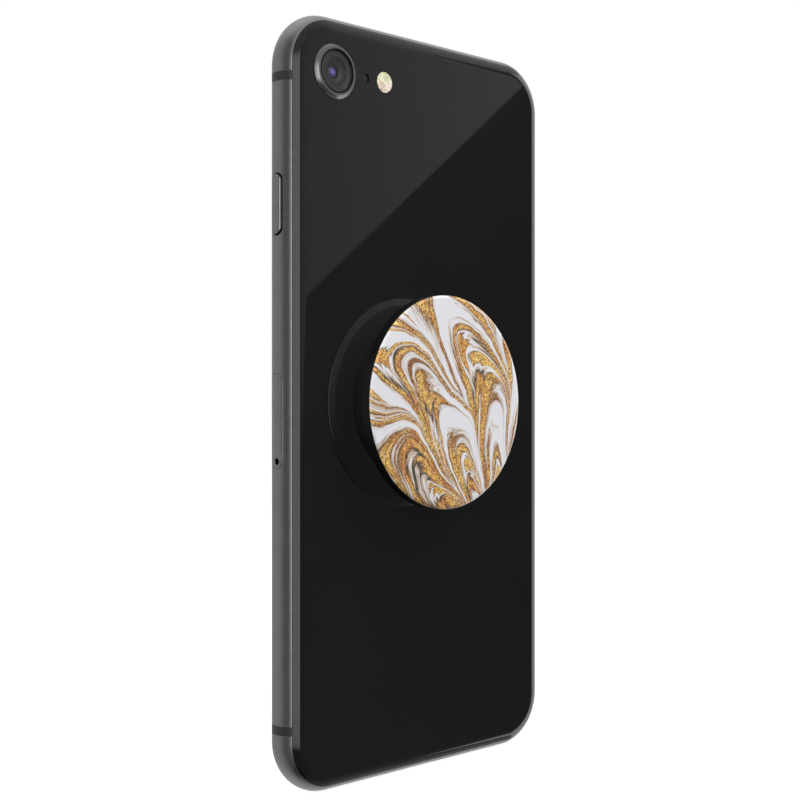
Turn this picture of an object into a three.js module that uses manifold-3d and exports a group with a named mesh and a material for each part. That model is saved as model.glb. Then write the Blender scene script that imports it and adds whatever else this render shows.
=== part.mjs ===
// A slim smartphone with a round collapsible grip on its back.
//
// The handset stands upright. X runs across it, Y runs from the display to the back and Z runs up.
// The origin is the centre of the display glass's outer face, and all lengths are in millimetres.
// "Depth" is a distance along Y from that face, and "rise" is a distance above the back glass.

import * as THREE from 'three';
import { mergeVertices } from 'three/addons/utils/BufferGeometryUtils.js';
import Module from 'manifold-3d';

const wasm = await Module();
wasm.setup();

// ---------------------------------------------------------------- driving dimensions

const WIDTH = 67.3;
const HEIGHT = 138.4;
const THICKNESS = 7.3;
const CORNER_RADIUS = 10;
const EDGE_RADIUS = THICKNESS / 2;
const EDGE_FLAT = 0.3;
const EDGE_STEPS = 6;
const CORNER_STEPS = 4;
const ROUND_STEPS = 12;

const FIT_GAP = 0.05;
const SKIN_GAP = 0.02;

// Side frame: the glass panels sit in pockets at its two faces, on a ledge.
const POCKET_INSET = 1.3;
const WALL_INSET = 3.8;
const GLASS_THICKNESS = 1.0;
const ADHESIVE_THICKNESS = 0.1;
const ADHESIVE_GAP = 0.2;
const ADHESIVE_OVERHANG = 0.1;
const LEDGE_DEPTH = 1.15;

// Pressed keys. Each stands a little proud of the frame and travels inwards. Behind its cap are a
// flange and a nub, and the switch that the nub presses, measured inwards from the frame's wall.
const KEY_SLOT_WIDTH = 2.8;
const KEY_GAP = 0.12;
const KEY_PROUD = 0.2;
const KEY_TRAVEL = 0.25;
const KEY_ROOT = 0.3;
const KEY_FLANGE = { width: 2.6, overhang: 1.2, radius: 0.4, depth: 0.65 };
const KEY_NUB = { width: 1.2, length: 3, radius: 0.3, root: 0.6, depth: 0.95 };
const KEY_SWITCH = { width: 1.5, length: 4.4, radius: 0.3, front: 0.3, back: 1.35 };
const KEY_PLUNGER = { width: 1.1, length: 2.4, root: 0.5 };
const POWER_KEY = { side: 1, z: 34.7, length: 10.5 };
const VOLUME_UP_KEY = { side: -1, z: 33.2, length: 10.5 };
const VOLUME_DOWN_KEY = { side: -1, z: 20.2, length: 10.5 };

// Mute switch: a tab in a slot, on a tongue whose stalk moves in the channel of the switch.
const MUTE_Z = 45.2;
const MUTE_SLOT = { width: 2.8, length: 6.0, radius: 0.7 };
const MUTE_TAB = { width: 1.7, length: 5.7, radius: 0.6, proud: 0.1 };
const MUTE_SHIFT = 0.5;
const MUTE_TONGUE = { width: 2.5, overhang: 1.2, radius: 0.4, depth: 0.65 };
const MUTE_STALK = { width: 0.8, length: 1.6, radius: 0.2, root: 0.6, depth: 1.5 };
const MUTE_SWITCH = { front: 0.95, back: 2.6, y: [2.35, 5.3], length: 6 };
const MUTE_CHANNEL = { back: 1.7, y: [2.6, 4.75], length: 2 };

// Card tray: a door, and a sled with a recess and a window for the card, in a reader.
const TRAY_Z = -3.08;
const TRAY_DOOR = { width: 2.8, length: 16.72, gap: 0.06 };
const TRAY_DOOR_DEPTH = 1.75;
const TRAY_THROAT = { width: 1.3, length: 15.72, radius: 0.3 };
const TRAY_SLED = { x: 9, root: 0.2, y: [3.2, 4.1], z: [-9.3, 4.5] };
const EJECT_HOLE = { z: -10.15, radius: 0.55 };
const CARD = { length: 12.3, width: 8.8, thickness: 0.67, chamfer: 1.4, x: 18.2, y: 3.4 };
const CARD_RECESS = { length: 12.6, width: 9.1, y: 3.38 };
const CARD_WINDOW = { length: 10.4, width: 6.8 };
const READER_SHELL = { x: [8, 28.4], y: [2.85, 4.46], z: [-10.2, 5.3] };
const READER_MOUTH = { x: [8.5, 30], y: [3.08, 4.22], z: [-9.6, 4.8] };

const STRIP_Z = 56.95;
const STRIP_WIDTH = 1.6;
const STRIP_INSET = 1.25;

// Bottom edge.
const PORT = { width: 8.9, height: 3.1 };
const PORT_SHELL = { width: 9.6, height: 3.4, radius: 1, top: -57.8, sink: 0.1 };
const PORT_MOUTH = { width: 8.2, height: 2.6, radius: 1.1, top: -58.6 };
const SCREW_X = 7.2;
const SCREW = { sink: 0.15, headRadius: 0.85, headHeight: 0.8, neck: 0.9, radius: 0.55, top: -63.8 };
const SCREW_SOCKET = { radius: 0.42, depth: 0.5 };
const SCREW_HOLE = { headRadius: 0.95, headDepth: 1.1, radius: 0.65 };
const SOUND_HOLES = { first: 12.0, pitch: 2.3, count: 6, radius: 0.65 };

// Front face. Turned profiles are [radius, depth] points.
const HOME = { z: -60.6, radius: 5.45 };
const HOME_RING = { width: 0.55, crest: 0.2, crestY: 0.03, outerY: 0.1, innerY: 0.12 };
const HOME_BUTTON = { inset: 0.6, rim: 0.9, middleY: 0.22, dishY: 0.2, rimY: 0.12 };
const HOME_SENSOR = { radius: 4.5, y: [1.05, 1.85] };
const EARPIECE = { z: 60.6, length: 11.4, width: 1.4 };
const EARPIECE_MESH = { gap: 0.05, y: [0.15, 0.75] };
const EARPIECE_SPEAKER = { x: [-6, 6], y: [1.05, 3.4], z: [57.6, 63.3] };
const LIGHT_SENSOR = { x: [-1.2, 1.2], y: [1.05, 1.7], z: [63.6, 64.9] };
const FRONT_CAMERA_X = -11.3;
const FRONT_CAMERA_PROFILE = [
  [0, 1.25], [1.2, 1.05], [2.6, 1.05], [2.6, 3.2], [3.1, 3.2], [3.1, 4.4], [0, 4.4],
];
const DISPLAY_PANEL = { width: 59.2, height: 109, radius: 0.6, y: [1.02, 1.6] };
const BACKLIGHT = { width: 58.8, height: 108.4, radius: 0.6, y: [1.62, 2.1] };
const DISPLAY_SHIELD = { width: 58.6, height: 108, radius: 0.6, y: [2.12, 2.3] };

// Back face.
const CAMERA_ROW_Z = 58.9;
const CAMERA = { x: 23.2, ringRadius: 4.9, slope: 0.45, windowRadius: 3.87, rise: 0.55 };
const CAMERA_RING = { foot: 6.2, shoulder: 0.05, chamfer: 0.1 };
const CAMERA_WINDOW = { foot: 7.1, sink: 0.1 };
const CAMERA_HOUSING = { half: 4, y: [2.5, 6.15], boreRadius: 3.2, boreY: 3.1 };
const LENS_BARREL_PROFILE = [
  [0, 3.35], [2.9, 3.35], [2.9, 5.55], [2.5, 5.75], [2.2, 5.75], [1.2, 5.2], [0, 5.35],
];
const REAR_MIC = { x: 15.8, radius: 0.75, root: 6, sink: 0.35 };
const REAR_MIC_CAPSULE = { width: 2.8, height: 2.2, y: [5.3, 6.2] };
const FLASH = { x: 11.1, radius: 2.0 };
const FLASH_BOARD = { width: 4.8, height: 4.8, y: [5.6, 6.1] };
const FLASH_EMITTERS = { width: 2, height: 3.2, y: [6, 6.25] };

// Parts inside, as the spans that they fill.
const MAIN_BOARD = { x: [8, 28.2], y: [4.5, 5.1], z: [-42, 52] };
const TOP_BOARD = { x: [-24, 18], y: [4.5, 5.1], z: [51, 63.5] };
const CAN_WALL = 0.3;
const FRONT_CAN = { x: [9, 26.8], z: [12, 48], lidY: 3.0, openY: 4.48 };
const REAR_CAN = { x: [9, 27.4], z: [-38, 48], lidY: 5.65, openY: 5.12 };
const BATTERY = { width: 34, height: 92, radius: 1.2, x: -9.8, z: 3, y: [2.5, 5.5] };
const BATTERY_LEAD = { x: [7, 7.6], y: [4.2, 5.2], z: [10, 24] };
const REAR_PLATE = { width: 57.6, height: 112, radius: 4, z: -6, holeRadius: 24, y: [5.85, 6.25] };
const COIL = { innerRadius: 10, outerRadius: 23, y: [5.7, 6.25] };
const HAPTIC_SHELL = { x: [-26.5, 6], y: [2.5, 5.8], z: [-57.4, -46] };
const HAPTIC_HOLLOW = { x: [-25.7, 5.2], y: [3, 8], z: [-56.6, -46.8] };
const HAPTIC_MASS = { x: [-24.6, 4.1], y: [3.2, 5.6], z: [-56.3, -47.1] };
const SPEAKER_BOX = { width: 19, height: 17.6, radius: 4.6, x: 18.5, z: -54.6, y: [2.5, 5.8] };
const SPEAKER_DUCT = { x: [12, 24], y: [2.9, 4.4], z: [-64.9, -60] };
const BOTTOM_MIC_BOARD = { x: [-19.6, -16], y: [2.6, 3.6], z: [-64.9, -61.4] };
const BOTTOM_MIC_CAPSULE = { x: [-18.6, -17], y: [3.4, 4.1], z: [-64.9, -63.3] };

// Collapsible grip: a base stuck to the back, five nested rings and a round button.
const GRIP = { x: 5.9, z: 0.15, baseRadius: 19.3, buttonRadius: 19.4 };
const GRIP_RISE = 11.35;
const GRIP_FLOOR_RISE = 0.95;
const GRIP_PAD = { radius: 18.6, rise: 0.46 };
const GRIP_BASE = {
  underside: 0.5, lip: 0.55, lipRise: 0.06, foot: 0.15, footRise: 0.22, shoulder: 0.35, shoulderRise: 0.55,
};
const GRIP_BUTTON = {
  thickness: 2.6, plate: 1, wall: 1.8, rearBevel: 0.4, rearBevelHeight: 0.35, bevel: 0.15, bevelDrop: 0.6,
  faceDrop: 0.42,
};
const GRIP_TOP = { inset: 0.1, drop: 0.4, foot: 0.1, side: 0.28, bevel: 0.35 };
const RING = { count: 5, height: 3.75, wall: 0.6, radius: 14.0, step: 1.16, taper: 0.12 };
const GRIP_STEPS = 40;

const MIDDLE = THICKNESS / 2;
const BACK_LEDGE = THICKNESS - LEDGE_DEPTH;
const BACK_GLASS_INSIDE = THICKNESS - GLASS_THICKNESS;
const HALF_WIDTH = WIDTH / 2;
const HALF_HEIGHT = HEIGHT / 2;
const WALL_X = HALF_WIDTH - WALL_INSET;
const WALL_Z = HALF_HEIGHT - WALL_INSET;

// Cutting shapes run past what they cut, and the ends of pills stay just short of a half circle.
const BEYOND = 5;
const OVERCUT = 1;
const PILL_FLAT = 0.01;

// ---------------------------------------------------------------- solids

function toSolid(geometry) {
  const bare = geometry.clone();
  bare.deleteAttribute('normal');
  bare.deleteAttribute('uv');
  const merged = mergeVertices(bare, 1e-5);
  return new wasm.Manifold(new wasm.Mesh({
    numProp: 3,
    vertProperties: new Float32Array(merged.attributes.position.array),
    triVerts: new Uint32Array(merged.index.array),
  }));
}

function toGeometry(solid) {
  const mesh = solid.getMesh();
  const geometry = new THREE.BufferGeometry();
  geometry.setAttribute('position', new THREE.BufferAttribute(new Float32Array(mesh.vertProperties), 3));
  geometry.setIndex(new THREE.BufferAttribute(new Uint32Array(mesh.triVerts), 1));
  return geometry;
}

function cut(geometry, ...tools) {
  return toGeometry(tools.reduce((left, tool) => left.subtract(toSolid(tool)), toSolid(geometry)));
}

function join(geometry, ...others) {
  return toGeometry(others.reduce((sum, other) => sum.add(toSolid(other)), toSolid(geometry)));
}

function common(first, second) {
  return toGeometry(toSolid(first).intersect(toSolid(second)));
}

// ---------------------------------------------------------------- outlines and simple shapes

function roundedRect(width, height, radius, x = 0, y = 0) {
  const right = x + width / 2 - radius;
  const left = x - width / 2 + radius;
  const top = y + height / 2 - radius;
  const bottom = y - height / 2 + radius;
  const shape = new THREE.Shape();
  shape.absarc(right, top, radius, 0, Math.PI / 2);
  shape.absarc(left, top, radius, Math.PI / 2, Math.PI);
  shape.absarc(left, bottom, radius, Math.PI, Math.PI * 1.5);
  shape.absarc(right, bottom, radius, Math.PI * 1.5, Math.PI * 2);
  shape.closePath();
  return shape;
}

function circle(radius, x = 0, y = 0) {
  const shape = new THREE.Shape();
  shape.absarc(x, y, radius, 0, Math.PI * 2);
  return shape;
}

function handsetOutline(inset) {
  return roundedRect(WIDTH - 2 * inset, HEIGHT - 2 * inset, CORNER_RADIUS - inset);
}

// Extrudes an X-Z outline from one depth to another.
function plate(shape, fromY, toY, curveSegments = CORNER_STEPS) {
  const options = { depth: toY - fromY, bevelEnabled: false, curveSegments };
  return new THREE.ExtrudeGeometry(shape, options).rotateX(Math.PI / 2).translate(0, toY, 0);
}

// Extrudes a Y-Z outline through the left (-1) or right (+1) side, between two distances from x = 0.
function sidePrism(shape, side, inner, outer, curveSegments = CORNER_STEPS) {
  const options = { depth: outer - inner, bevelEnabled: false, curveSegments };
  const turn = new THREE.Matrix4().makeBasis(
    new THREE.Vector3(0, 1, 0),
    new THREE.Vector3(0, 0, 1),
    new THREE.Vector3(1, 0, 0),
  );
  const geometry = new THREE.ExtrudeGeometry(shape, options).applyMatrix4(turn);
  return geometry.translate(side > 0 ? inner : -outer, 0, 0);
}

// Extrudes an X-Y outline upwards between two heights.
function post(shape, fromZ, toZ, curveSegments = CORNER_STEPS) {
  const options = { depth: toZ - fromZ, bevelEnabled: false, curveSegments };
  return new THREE.ExtrudeGeometry(shape, options).translate(0, 0, fromZ);
}

function block({ x, y, z }) {
  const geometry = new THREE.BoxGeometry(x[1] - x[0], y[1] - y[0], z[1] - z[0]);
  return geometry.translate((x[0] + x[1]) / 2, (y[0] + y[1]) / 2, (z[0] + z[1]) / 2);
}

// A block of a width and a height about a point, between two depths.
function blockAt(x, z, { width, height, y }) {
  return block({ x: [x - width / 2, x + width / 2], y, z: [z - height / 2, z + height / 2] });
}

// A plate with rounded corners, between two depths.
function slab({ width, height, radius, x = 0, z = 0, y }, curveSegments = 1) {
  return plate(roundedRect(width, height, radius, x, z), y[0], y[1], curveSegments);
}

// Turns a profile of [radius, depth] points about an axis that runs along Y.
function turned(profile, x, z, segments = 2 * ROUND_STEPS) {
  const points = profile.map(([radius, y]) => new THREE.Vector2(radius, y));
  return new THREE.LatheGeometry(points, segments).translate(x, 0, z);
}

function disc(radius, fromY, toY, x, z, segments = 2 * ROUND_STEPS) {
  return turned([[0, fromY], [radius, fromY], [radius, toY], [0, toY]], x, z, segments);
}

// The whole handset as one pebble with half-round edges; grow swells its edges.
function blank(grow = 0) {
  const shape = roundedRect(WIDTH - 2 * EDGE_RADIUS, HEIGHT - 2 * EDGE_RADIUS, CORNER_RADIUS - EDGE_RADIUS);
  const geometry = new THREE.ExtrudeGeometry(shape, {
    depth: EDGE_FLAT,
    bevelEnabled: true,
    bevelThickness: (THICKNESS - EDGE_FLAT) / 2,
    bevelSize: EDGE_RADIUS + grow,
    bevelSegments: EDGE_STEPS,
    curveSegments: CORNER_STEPS,
  });
  return geometry.rotateX(Math.PI / 2).translate(0, MIDDLE + EDGE_FLAT / 2, 0);
}

// Turns a shape on the right side half a turn about the handset's upright middle axis.
function toOtherSide(geometry) {
  return geometry.clone().translate(0, -MIDDLE, 0).rotateZ(Math.PI).translate(0, MIDDLE, 0);
}

// Turns a shape at the top half a turn about the handset's middle axis across its width.
function toOtherEnd(geometry) {
  return geometry.clone().translate(0, -MIDDLE, 0).rotateX(Math.PI).translate(0, MIDDLE, 0);
}

function pill(width, length, z, grow = 0) {
  return roundedRect(width + 2 * grow, length + 2 * grow, width / 2 + grow - PILL_FLAT, MIDDLE, z);
}

// ---------------------------------------------------------------- side frame and antenna strips

function stripGroove(gap) {
  const halfWidth = STRIP_WIDTH / 2 - gap;
  const floor = HALF_WIDTH - STRIP_INSET + gap;
  return block({
    x: [floor, HALF_WIDTH + BEYOND],
    y: [0, THICKNESS],
    z: [STRIP_Z - halfWidth, STRIP_Z + halfWidth],
  });
}

function allFour(geometry) {
  const left = toOtherSide(geometry);
  return [geometry, left, toOtherEnd(geometry), toOtherEnd(left)];
}

function keySlot({ side, z, length }) {
  return sidePrism(pill(KEY_SLOT_WIDTH, length, z), side, WALL_X - OVERCUT, HALF_WIDTH + BEYOND);
}

function muteSlot() {
  const shape = roundedRect(MUTE_SLOT.width, MUTE_SLOT.length, MUTE_SLOT.radius, MIDDLE, MUTE_Z);
  return sidePrism(shape, -1, WALL_X - OVERCUT, HALF_WIDTH + BEYOND);
}

function trayCuts() {
  const doorBack = HALF_WIDTH - TRAY_DOOR_DEPTH;
  const throat = roundedRect(TRAY_THROAT.width, TRAY_THROAT.length, TRAY_THROAT.radius, MIDDLE, TRAY_Z);
  return [
    sidePrism(pill(TRAY_DOOR.width, TRAY_DOOR.length, TRAY_Z), 1, doorBack, HALF_WIDTH + BEYOND),
    sidePrism(throat, 1, WALL_X - OVERCUT, HALF_WIDTH, 1),
  ];
}

function bottomCuts() {
  const below = -HALF_HEIGHT - BEYOND;
  const inside = -WALL_Z + OVERCUT;
  const headSeat = -HALF_HEIGHT + SCREW_HOLE.headDepth;
  const port = roundedRect(PORT.width, PORT.height, PORT.height / 2 - PILL_FLAT, 0, MIDDLE);
  const cuts = [post(port, below, inside)];
  for (const side of [-1, 1]) {
    cuts.push(post(circle(SCREW_HOLE.headRadius, side * SCREW_X, MIDDLE), below, headSeat, 6));
    cuts.push(post(circle(SCREW_HOLE.radius, side * SCREW_X, MIDDLE), below, inside, 5));
    for (let i = 0; i < SOUND_HOLES.count; i += 1) {
      const x = side * (SOUND_HOLES.first + i * SOUND_HOLES.pitch);
      cuts.push(post(circle(SOUND_HOLES.radius, x, MIDDLE), below, inside, 5));
    }
  }
  return cuts;
}

function sideFrame() {
  return cut(
    blank(),
    plate(handsetOutline(WALL_INSET), -BEYOND, THICKNESS + BEYOND),
    plate(handsetOutline(POCKET_INSET), -BEYOND, LEDGE_DEPTH),
    plate(handsetOutline(POCKET_INSET), BACK_LEDGE, THICKNESS + BEYOND),
    ...allFour(stripGroove(0)),
    ...[POWER_KEY, VOLUME_UP_KEY, VOLUME_DOWN_KEY].map(keySlot),
    muteSlot(),
    ...trayCuts(),
    ...bottomCuts(),
  );
}

// ---------------------------------------------------------------- keys, mute switch and card tray

function pressKey({ side, z, length }) {
  const capShape = pill(KEY_SLOT_WIDTH, length, z, -KEY_GAP);
  const cap = sidePrism(capShape, side, WALL_X - KEY_ROOT, HALF_WIDTH + BEYOND);
  const flange = roundedRect(KEY_FLANGE.width, length + KEY_FLANGE.overhang, KEY_FLANGE.radius, MIDDLE, z);
  const nub = roundedRect(KEY_NUB.width, KEY_NUB.length, KEY_NUB.radius, MIDDLE, z);
  return join(
    common(cap, blank(KEY_PROUD)),
    sidePrism(flange, side, WALL_X - KEY_FLANGE.depth, WALL_X - FIT_GAP, 1),
    sidePrism(nub, side, WALL_X - KEY_NUB.depth, WALL_X - KEY_NUB.root, 1),
  );
}

function keySwitch({ side, z }) {
  const face = WALL_X - KEY_NUB.depth - KEY_TRAVEL - FIT_GAP;
  const body = roundedRect(KEY_SWITCH.width, KEY_SWITCH.length, KEY_SWITCH.radius, MIDDLE, z);
  const plunger = roundedRect(KEY_PLUNGER.width, KEY_PLUNGER.length, KEY_SWITCH.radius, MIDDLE, z);
  return join(
    sidePrism(body, side, face - KEY_SWITCH.back, face - KEY_SWITCH.front, 1),
    sidePrism(plunger, side, face - KEY_PLUNGER.root, face, 1),
  );
}

function muteSlider() {
  const y = MIDDLE - MUTE_SHIFT;
  const tongueLength = MUTE_SLOT.length + MUTE_TONGUE.overhang;
  const tab = roundedRect(MUTE_TAB.width, MUTE_TAB.length, MUTE_TAB.radius, y, MUTE_Z);
  const tongue = roundedRect(MUTE_TONGUE.width, tongueLength, MUTE_TONGUE.radius, MIDDLE, MUTE_Z);
  const stalk = roundedRect(MUTE_STALK.width, MUTE_STALK.length, MUTE_STALK.radius, y, MUTE_Z);
  return join(
    common(sidePrism(tab, -1, WALL_X - KEY_ROOT, HALF_WIDTH + BEYOND), blank(MUTE_TAB.proud)),
    sidePrism(tongue, -1, WALL_X - MUTE_TONGUE.depth, WALL_X - FIT_GAP, 1),
    sidePrism(stalk, -1, WALL_X - MUTE_STALK.depth, WALL_X - MUTE_STALK.root, 1),
  );
}

function muteSwitch() {
  const along = (length) => [MUTE_Z - length / 2, MUTE_Z + length / 2];
  const body = block({
    x: [-WALL_X + MUTE_SWITCH.front, -WALL_X + MUTE_SWITCH.back],
    y: MUTE_SWITCH.y,
    z: along(MUTE_SWITCH.length),
  });
  const channel = block({
    x: [-WALL_X, -WALL_X + MUTE_CHANNEL.back],
    y: MUTE_CHANNEL.y,
    z: along(MUTE_CHANNEL.length),
  });
  return cut(body, channel);
}

function simTray() {
  const doorBack = HALF_WIDTH - TRAY_DOOR_DEPTH + FIT_GAP;
  const doorShape = pill(TRAY_DOOR.width, TRAY_DOOR.length, TRAY_Z, -TRAY_DOOR.gap);
  const door = sidePrism(doorShape, 1, doorBack, WIDTH);
  const hole = sidePrism(circle(EJECT_HOLE.radius, MIDDLE, EJECT_HOLE.z), 1, WALL_X, WIDTH, 6);
  const sled = block({ x: [TRAY_SLED.x, doorBack + TRAY_SLED.root], y: TRAY_SLED.y, z: TRAY_SLED.z });
  const around = ({ length, width }, y) => blockAt(CARD.x, TRAY_Z, { width: length, height: width, y });
  return cut(
    join(cut(common(door, blank()), hole), sled),
    around(CARD_RECESS, [CARD_RECESS.y, CARD_RECESS.y + OVERCUT]),
    around(CARD_WINDOW, [TRAY_SLED.y[0] - OVERCUT, TRAY_SLED.y[1] + OVERCUT]),
  );
}

function simCard() {
  const { chamfer, thickness, x, y } = CARD;
  const halfLength = CARD.length / 2;
  const halfWidth = CARD.width / 2;
  const shape = new THREE.Shape();
  shape.moveTo(x - halfLength, TRAY_Z - halfWidth);
  shape.lineTo(x + halfLength, TRAY_Z - halfWidth);
  shape.lineTo(x + halfLength, TRAY_Z + halfWidth);
  shape.lineTo(x - halfLength + chamfer, TRAY_Z + halfWidth);
  shape.lineTo(x - halfLength, TRAY_Z + halfWidth - chamfer);
  shape.closePath();
  return plate(shape, y, y + thickness);
}

function simReader() {
  return cut(block(READER_SHELL), block(READER_MOUTH));
}

// ---------------------------------------------------------------- glass, display and front parts

function displayGlass() {
  const panel = common(blank(), plate(handsetOutline(POCKET_INSET + FIT_GAP), -BEYOND, GLASS_THICKNESS));
  const slot = roundedRect(EARPIECE.length, EARPIECE.width, EARPIECE.width / 2 - PILL_FLAT, 0, EARPIECE.z);
  const homeHole = plate(circle(HOME.radius + FIT_GAP, 0, HOME.z), -BEYOND, BEYOND, ROUND_STEPS);
  return cut(panel, homeHole, plate(slot, -BEYOND, BEYOND));
}

function rearGlass() {
  const outline = handsetOutline(POCKET_INSET + FIT_GAP);
  const panel = common(blank(), plate(outline, BACK_GLASS_INSIDE, THICKNESS + BEYOND));
  const holes = [[CAMERA.x, CAMERA.ringRadius], [REAR_MIC.x, REAR_MIC.radius], [FLASH.x, FLASH.radius]];
  const through = ([x, radius]) => (
    plate(circle(radius + FIT_GAP, x, CAMERA_ROW_Z), MIDDLE, THICKNESS + BEYOND, ROUND_STEPS)
  );
  return cut(panel, ...holes.map(through));
}

function adhesiveLoop(fromY) {
  const shape = handsetOutline(POCKET_INSET + ADHESIVE_GAP);
  shape.holes.push(handsetOutline(WALL_INSET - ADHESIVE_OVERHANG));
  return plate(shape, fromY, fromY + ADHESIVE_THICKNESS);
}

function homeRing() {
  const { width, crest, crestY, outerY, innerY } = HOME_RING;
  const outer = HOME.radius;
  const inner = outer - width;
  return turned([
    [inner, innerY], [outer - crest, crestY], [outer, outerY],
    [outer, GLASS_THICKNESS], [inner, GLASS_THICKNESS], [inner, innerY],
  ], 0, HOME.z);
}

function homeButton() {
  const { inset, rim, middleY, dishY, rimY } = HOME_BUTTON;
  const radius = HOME.radius - inset;
  return turned([
    [0, middleY], [radius - rim, dishY], [radius, rimY], [radius, GLASS_THICKNESS], [0, GLASS_THICKNESS],
  ], 0, HOME.z);
}

function earpieceMesh() {
  const { gap, y } = EARPIECE_MESH;
  const width = EARPIECE.width - 2 * gap;
  const length = EARPIECE.length - 2 * gap;
  return plate(roundedRect(length, width, width / 2 - PILL_FLAT, 0, EARPIECE.z), y[0], y[1], 3);
}

function frontCamera() {
  return turned(FRONT_CAMERA_PROFILE, FRONT_CAMERA_X, EARPIECE.z);
}

// ---------------------------------------------------------------- rear camera, microphone and flash

function cameraRing() {
  const { ringRadius, slope, windowRadius, rise, x } = CAMERA;
  const { foot, shoulder, chamfer } = CAMERA_RING;
  const top = THICKNESS + rise;
  const bore = windowRadius + FIT_GAP;
  return turned([
    [bore, foot], [ringRadius, foot], [ringRadius, THICKNESS + shoulder], [ringRadius - slope, top],
    [bore + chamfer, top], [bore, top - chamfer], [bore, foot],
  ], x, CAMERA_ROW_Z);
}

function cameraWindow() {
  const top = THICKNESS + CAMERA.rise - CAMERA_WINDOW.sink;
  return disc(CAMERA.windowRadius, CAMERA_WINDOW.foot, top, CAMERA.x, CAMERA_ROW_Z);
}

function cameraHousing() {
  const { half, y, boreRadius, boreY } = CAMERA_HOUSING;
  const body = blockAt(CAMERA.x, CAMERA_ROW_Z, { width: 2 * half, height: 2 * half, y });
  return cut(body, disc(boreRadius, boreY, y[1] + OVERCUT, CAMERA.x, CAMERA_ROW_Z));
}

function lensBarrel() {
  return turned(LENS_BARREL_PROFILE, CAMERA.x, CAMERA_ROW_Z);
}

function rearMicrophone() {
  const { x, radius, root, sink } = REAR_MIC;
  const capsule = blockAt(x, CAMERA_ROW_Z, REAR_MIC_CAPSULE);
  return join(capsule, disc(radius, root, THICKNESS - sink, x, CAMERA_ROW_Z, 12));
}

function flashLens() {
  return disc(FLASH.radius, BACK_GLASS_INSIDE, THICKNESS - SKIN_GAP, FLASH.x, CAMERA_ROW_Z);
}

function flashBoard() {
  return join(blockAt(FLASH.x, CAMERA_ROW_Z, FLASH_BOARD), blockAt(FLASH.x, CAMERA_ROW_Z, FLASH_EMITTERS));
}

// ---------------------------------------------------------------- parts inside

function logicBoard() {
  return join(block(MAIN_BOARD), block(TOP_BOARD));
}

// A thin-walled can, open towards the board.
function shieldCan({ x, z, lidY, openY }) {
  const inwards = Math.sign(openY - lidY);
  const sorted = (a, b) => [Math.min(a, b), Math.max(a, b)];
  const shrunk = ([low, high]) => [low + CAN_WALL, high - CAN_WALL];
  return cut(
    block({ x, y: sorted(lidY, openY), z }),
    block({ x: shrunk(x), y: sorted(lidY + inwards * CAN_WALL, openY + inwards), z: shrunk(z) }),
  );
}

function battery() {
  return join(slab(BATTERY), block(BATTERY_LEAD));
}

function rearPlate() {
  const { width, height, radius, z, holeRadius, y } = REAR_PLATE;
  const shape = roundedRect(width, height, radius, 0, z);
  shape.holes.push(circle(holeRadius));
  return plate(shape, y[0], y[1], 6);
}

function chargingCoil() {
  const { innerRadius, outerRadius, y } = COIL;
  return turned([
    [innerRadius, y[0]], [outerRadius, y[0]], [outerRadius, y[1]], [innerRadius, y[1]], [innerRadius, y[0]],
  ], 0, 0, GRIP_STEPS);
}

function hapticHousing() {
  return cut(block(HAPTIC_SHELL), block(HAPTIC_HOLLOW));
}

function loudspeaker() {
  return join(slab(SPEAKER_BOX, 2), block(SPEAKER_DUCT));
}

function chargePort() {
  const shell = roundedRect(PORT_SHELL.width, PORT_SHELL.height, PORT_SHELL.radius, 0, MIDDLE);
  const mouth = roundedRect(PORT_MOUTH.width, PORT_MOUTH.height, PORT_MOUTH.radius, 0, MIDDLE);
  return cut(
    post(shell, -WALL_Z + PORT_SHELL.sink, PORT_SHELL.top, 2),
    post(mouth, -WALL_Z - OVERCUT, PORT_MOUTH.top, 2),
  );
}

function bottomMicrophone() {
  return join(block(BOTTOM_MIC_BOARD), block(BOTTOM_MIC_CAPSULE));
}

function bottomScrew(side) {
  const { sink, headRadius, headHeight, neck, radius, top } = SCREW;
  const head = -HALF_HEIGHT + sink;
  const profile = [
    [0, head], [headRadius, head], [headRadius, head + headHeight],
    [radius, head + neck], [radius, top], [0, top],
  ];
  const points = profile.map(([distance, height]) => new THREE.Vector2(distance, height));
  const screw = new THREE.LatheGeometry(points, ROUND_STEPS);
  screw.rotateX(Math.PI / 2);
  screw.translate(side * SCREW_X, MIDDLE, 0);
  const { radius: socketRadius, depth } = SCREW_SOCKET;
  const socket = new THREE.CylinderGeometry(socketRadius, socketRadius, 2 * depth, 5).rotateX(Math.PI / 2);
  return cut(screw, socket.translate(side * SCREW_X, MIDDLE, head));
}

// ---------------------------------------------------------------- grip

const onBack = (rise) => THICKNESS + rise;

function gripTurned(profile) {
  return turned(profile.map(([radius, rise]) => [radius, onBack(rise)]), GRIP.x, GRIP.z, GRIP_STEPS);
}

function gripPad() {
  const { radius, rise } = GRIP_PAD;
  return gripTurned([[0, SKIN_GAP], [radius, SKIN_GAP], [radius, rise], [0, rise]]);
}

function gripBase() {
  const { underside, lip, lipRise, foot, footRise, shoulder, shoulderRise } = GRIP_BASE;
  const r = GRIP.baseRadius;
  return gripTurned([
    [0, underside], [r - lip, underside], [r - lip, lipRise], [r - foot, lipRise], [r, footRise],
    [r, shoulderRise], [r - shoulder, GRIP_FLOOR_RISE], [0, GRIP_FLOOR_RISE],
  ]);
}

function gripRing(index) {
  const travel = GRIP_RISE - GRIP_BUTTON.plate - SKIN_GAP - RING.height - GRIP_FLOOR_RISE - SKIN_GAP;
  const low = GRIP_FLOOR_RISE + SKIN_GAP + travel * index / (RING.count - 1);
  const high = low + RING.height;
  const outer = RING.radius - index * RING.step;
  const lean = RING.height * RING.taper;
  return gripTurned([
    [outer - RING.wall, low], [outer, low], [outer - lean, high],
    [outer - RING.wall - lean, high], [outer - RING.wall, low],
  ]);
}

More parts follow.
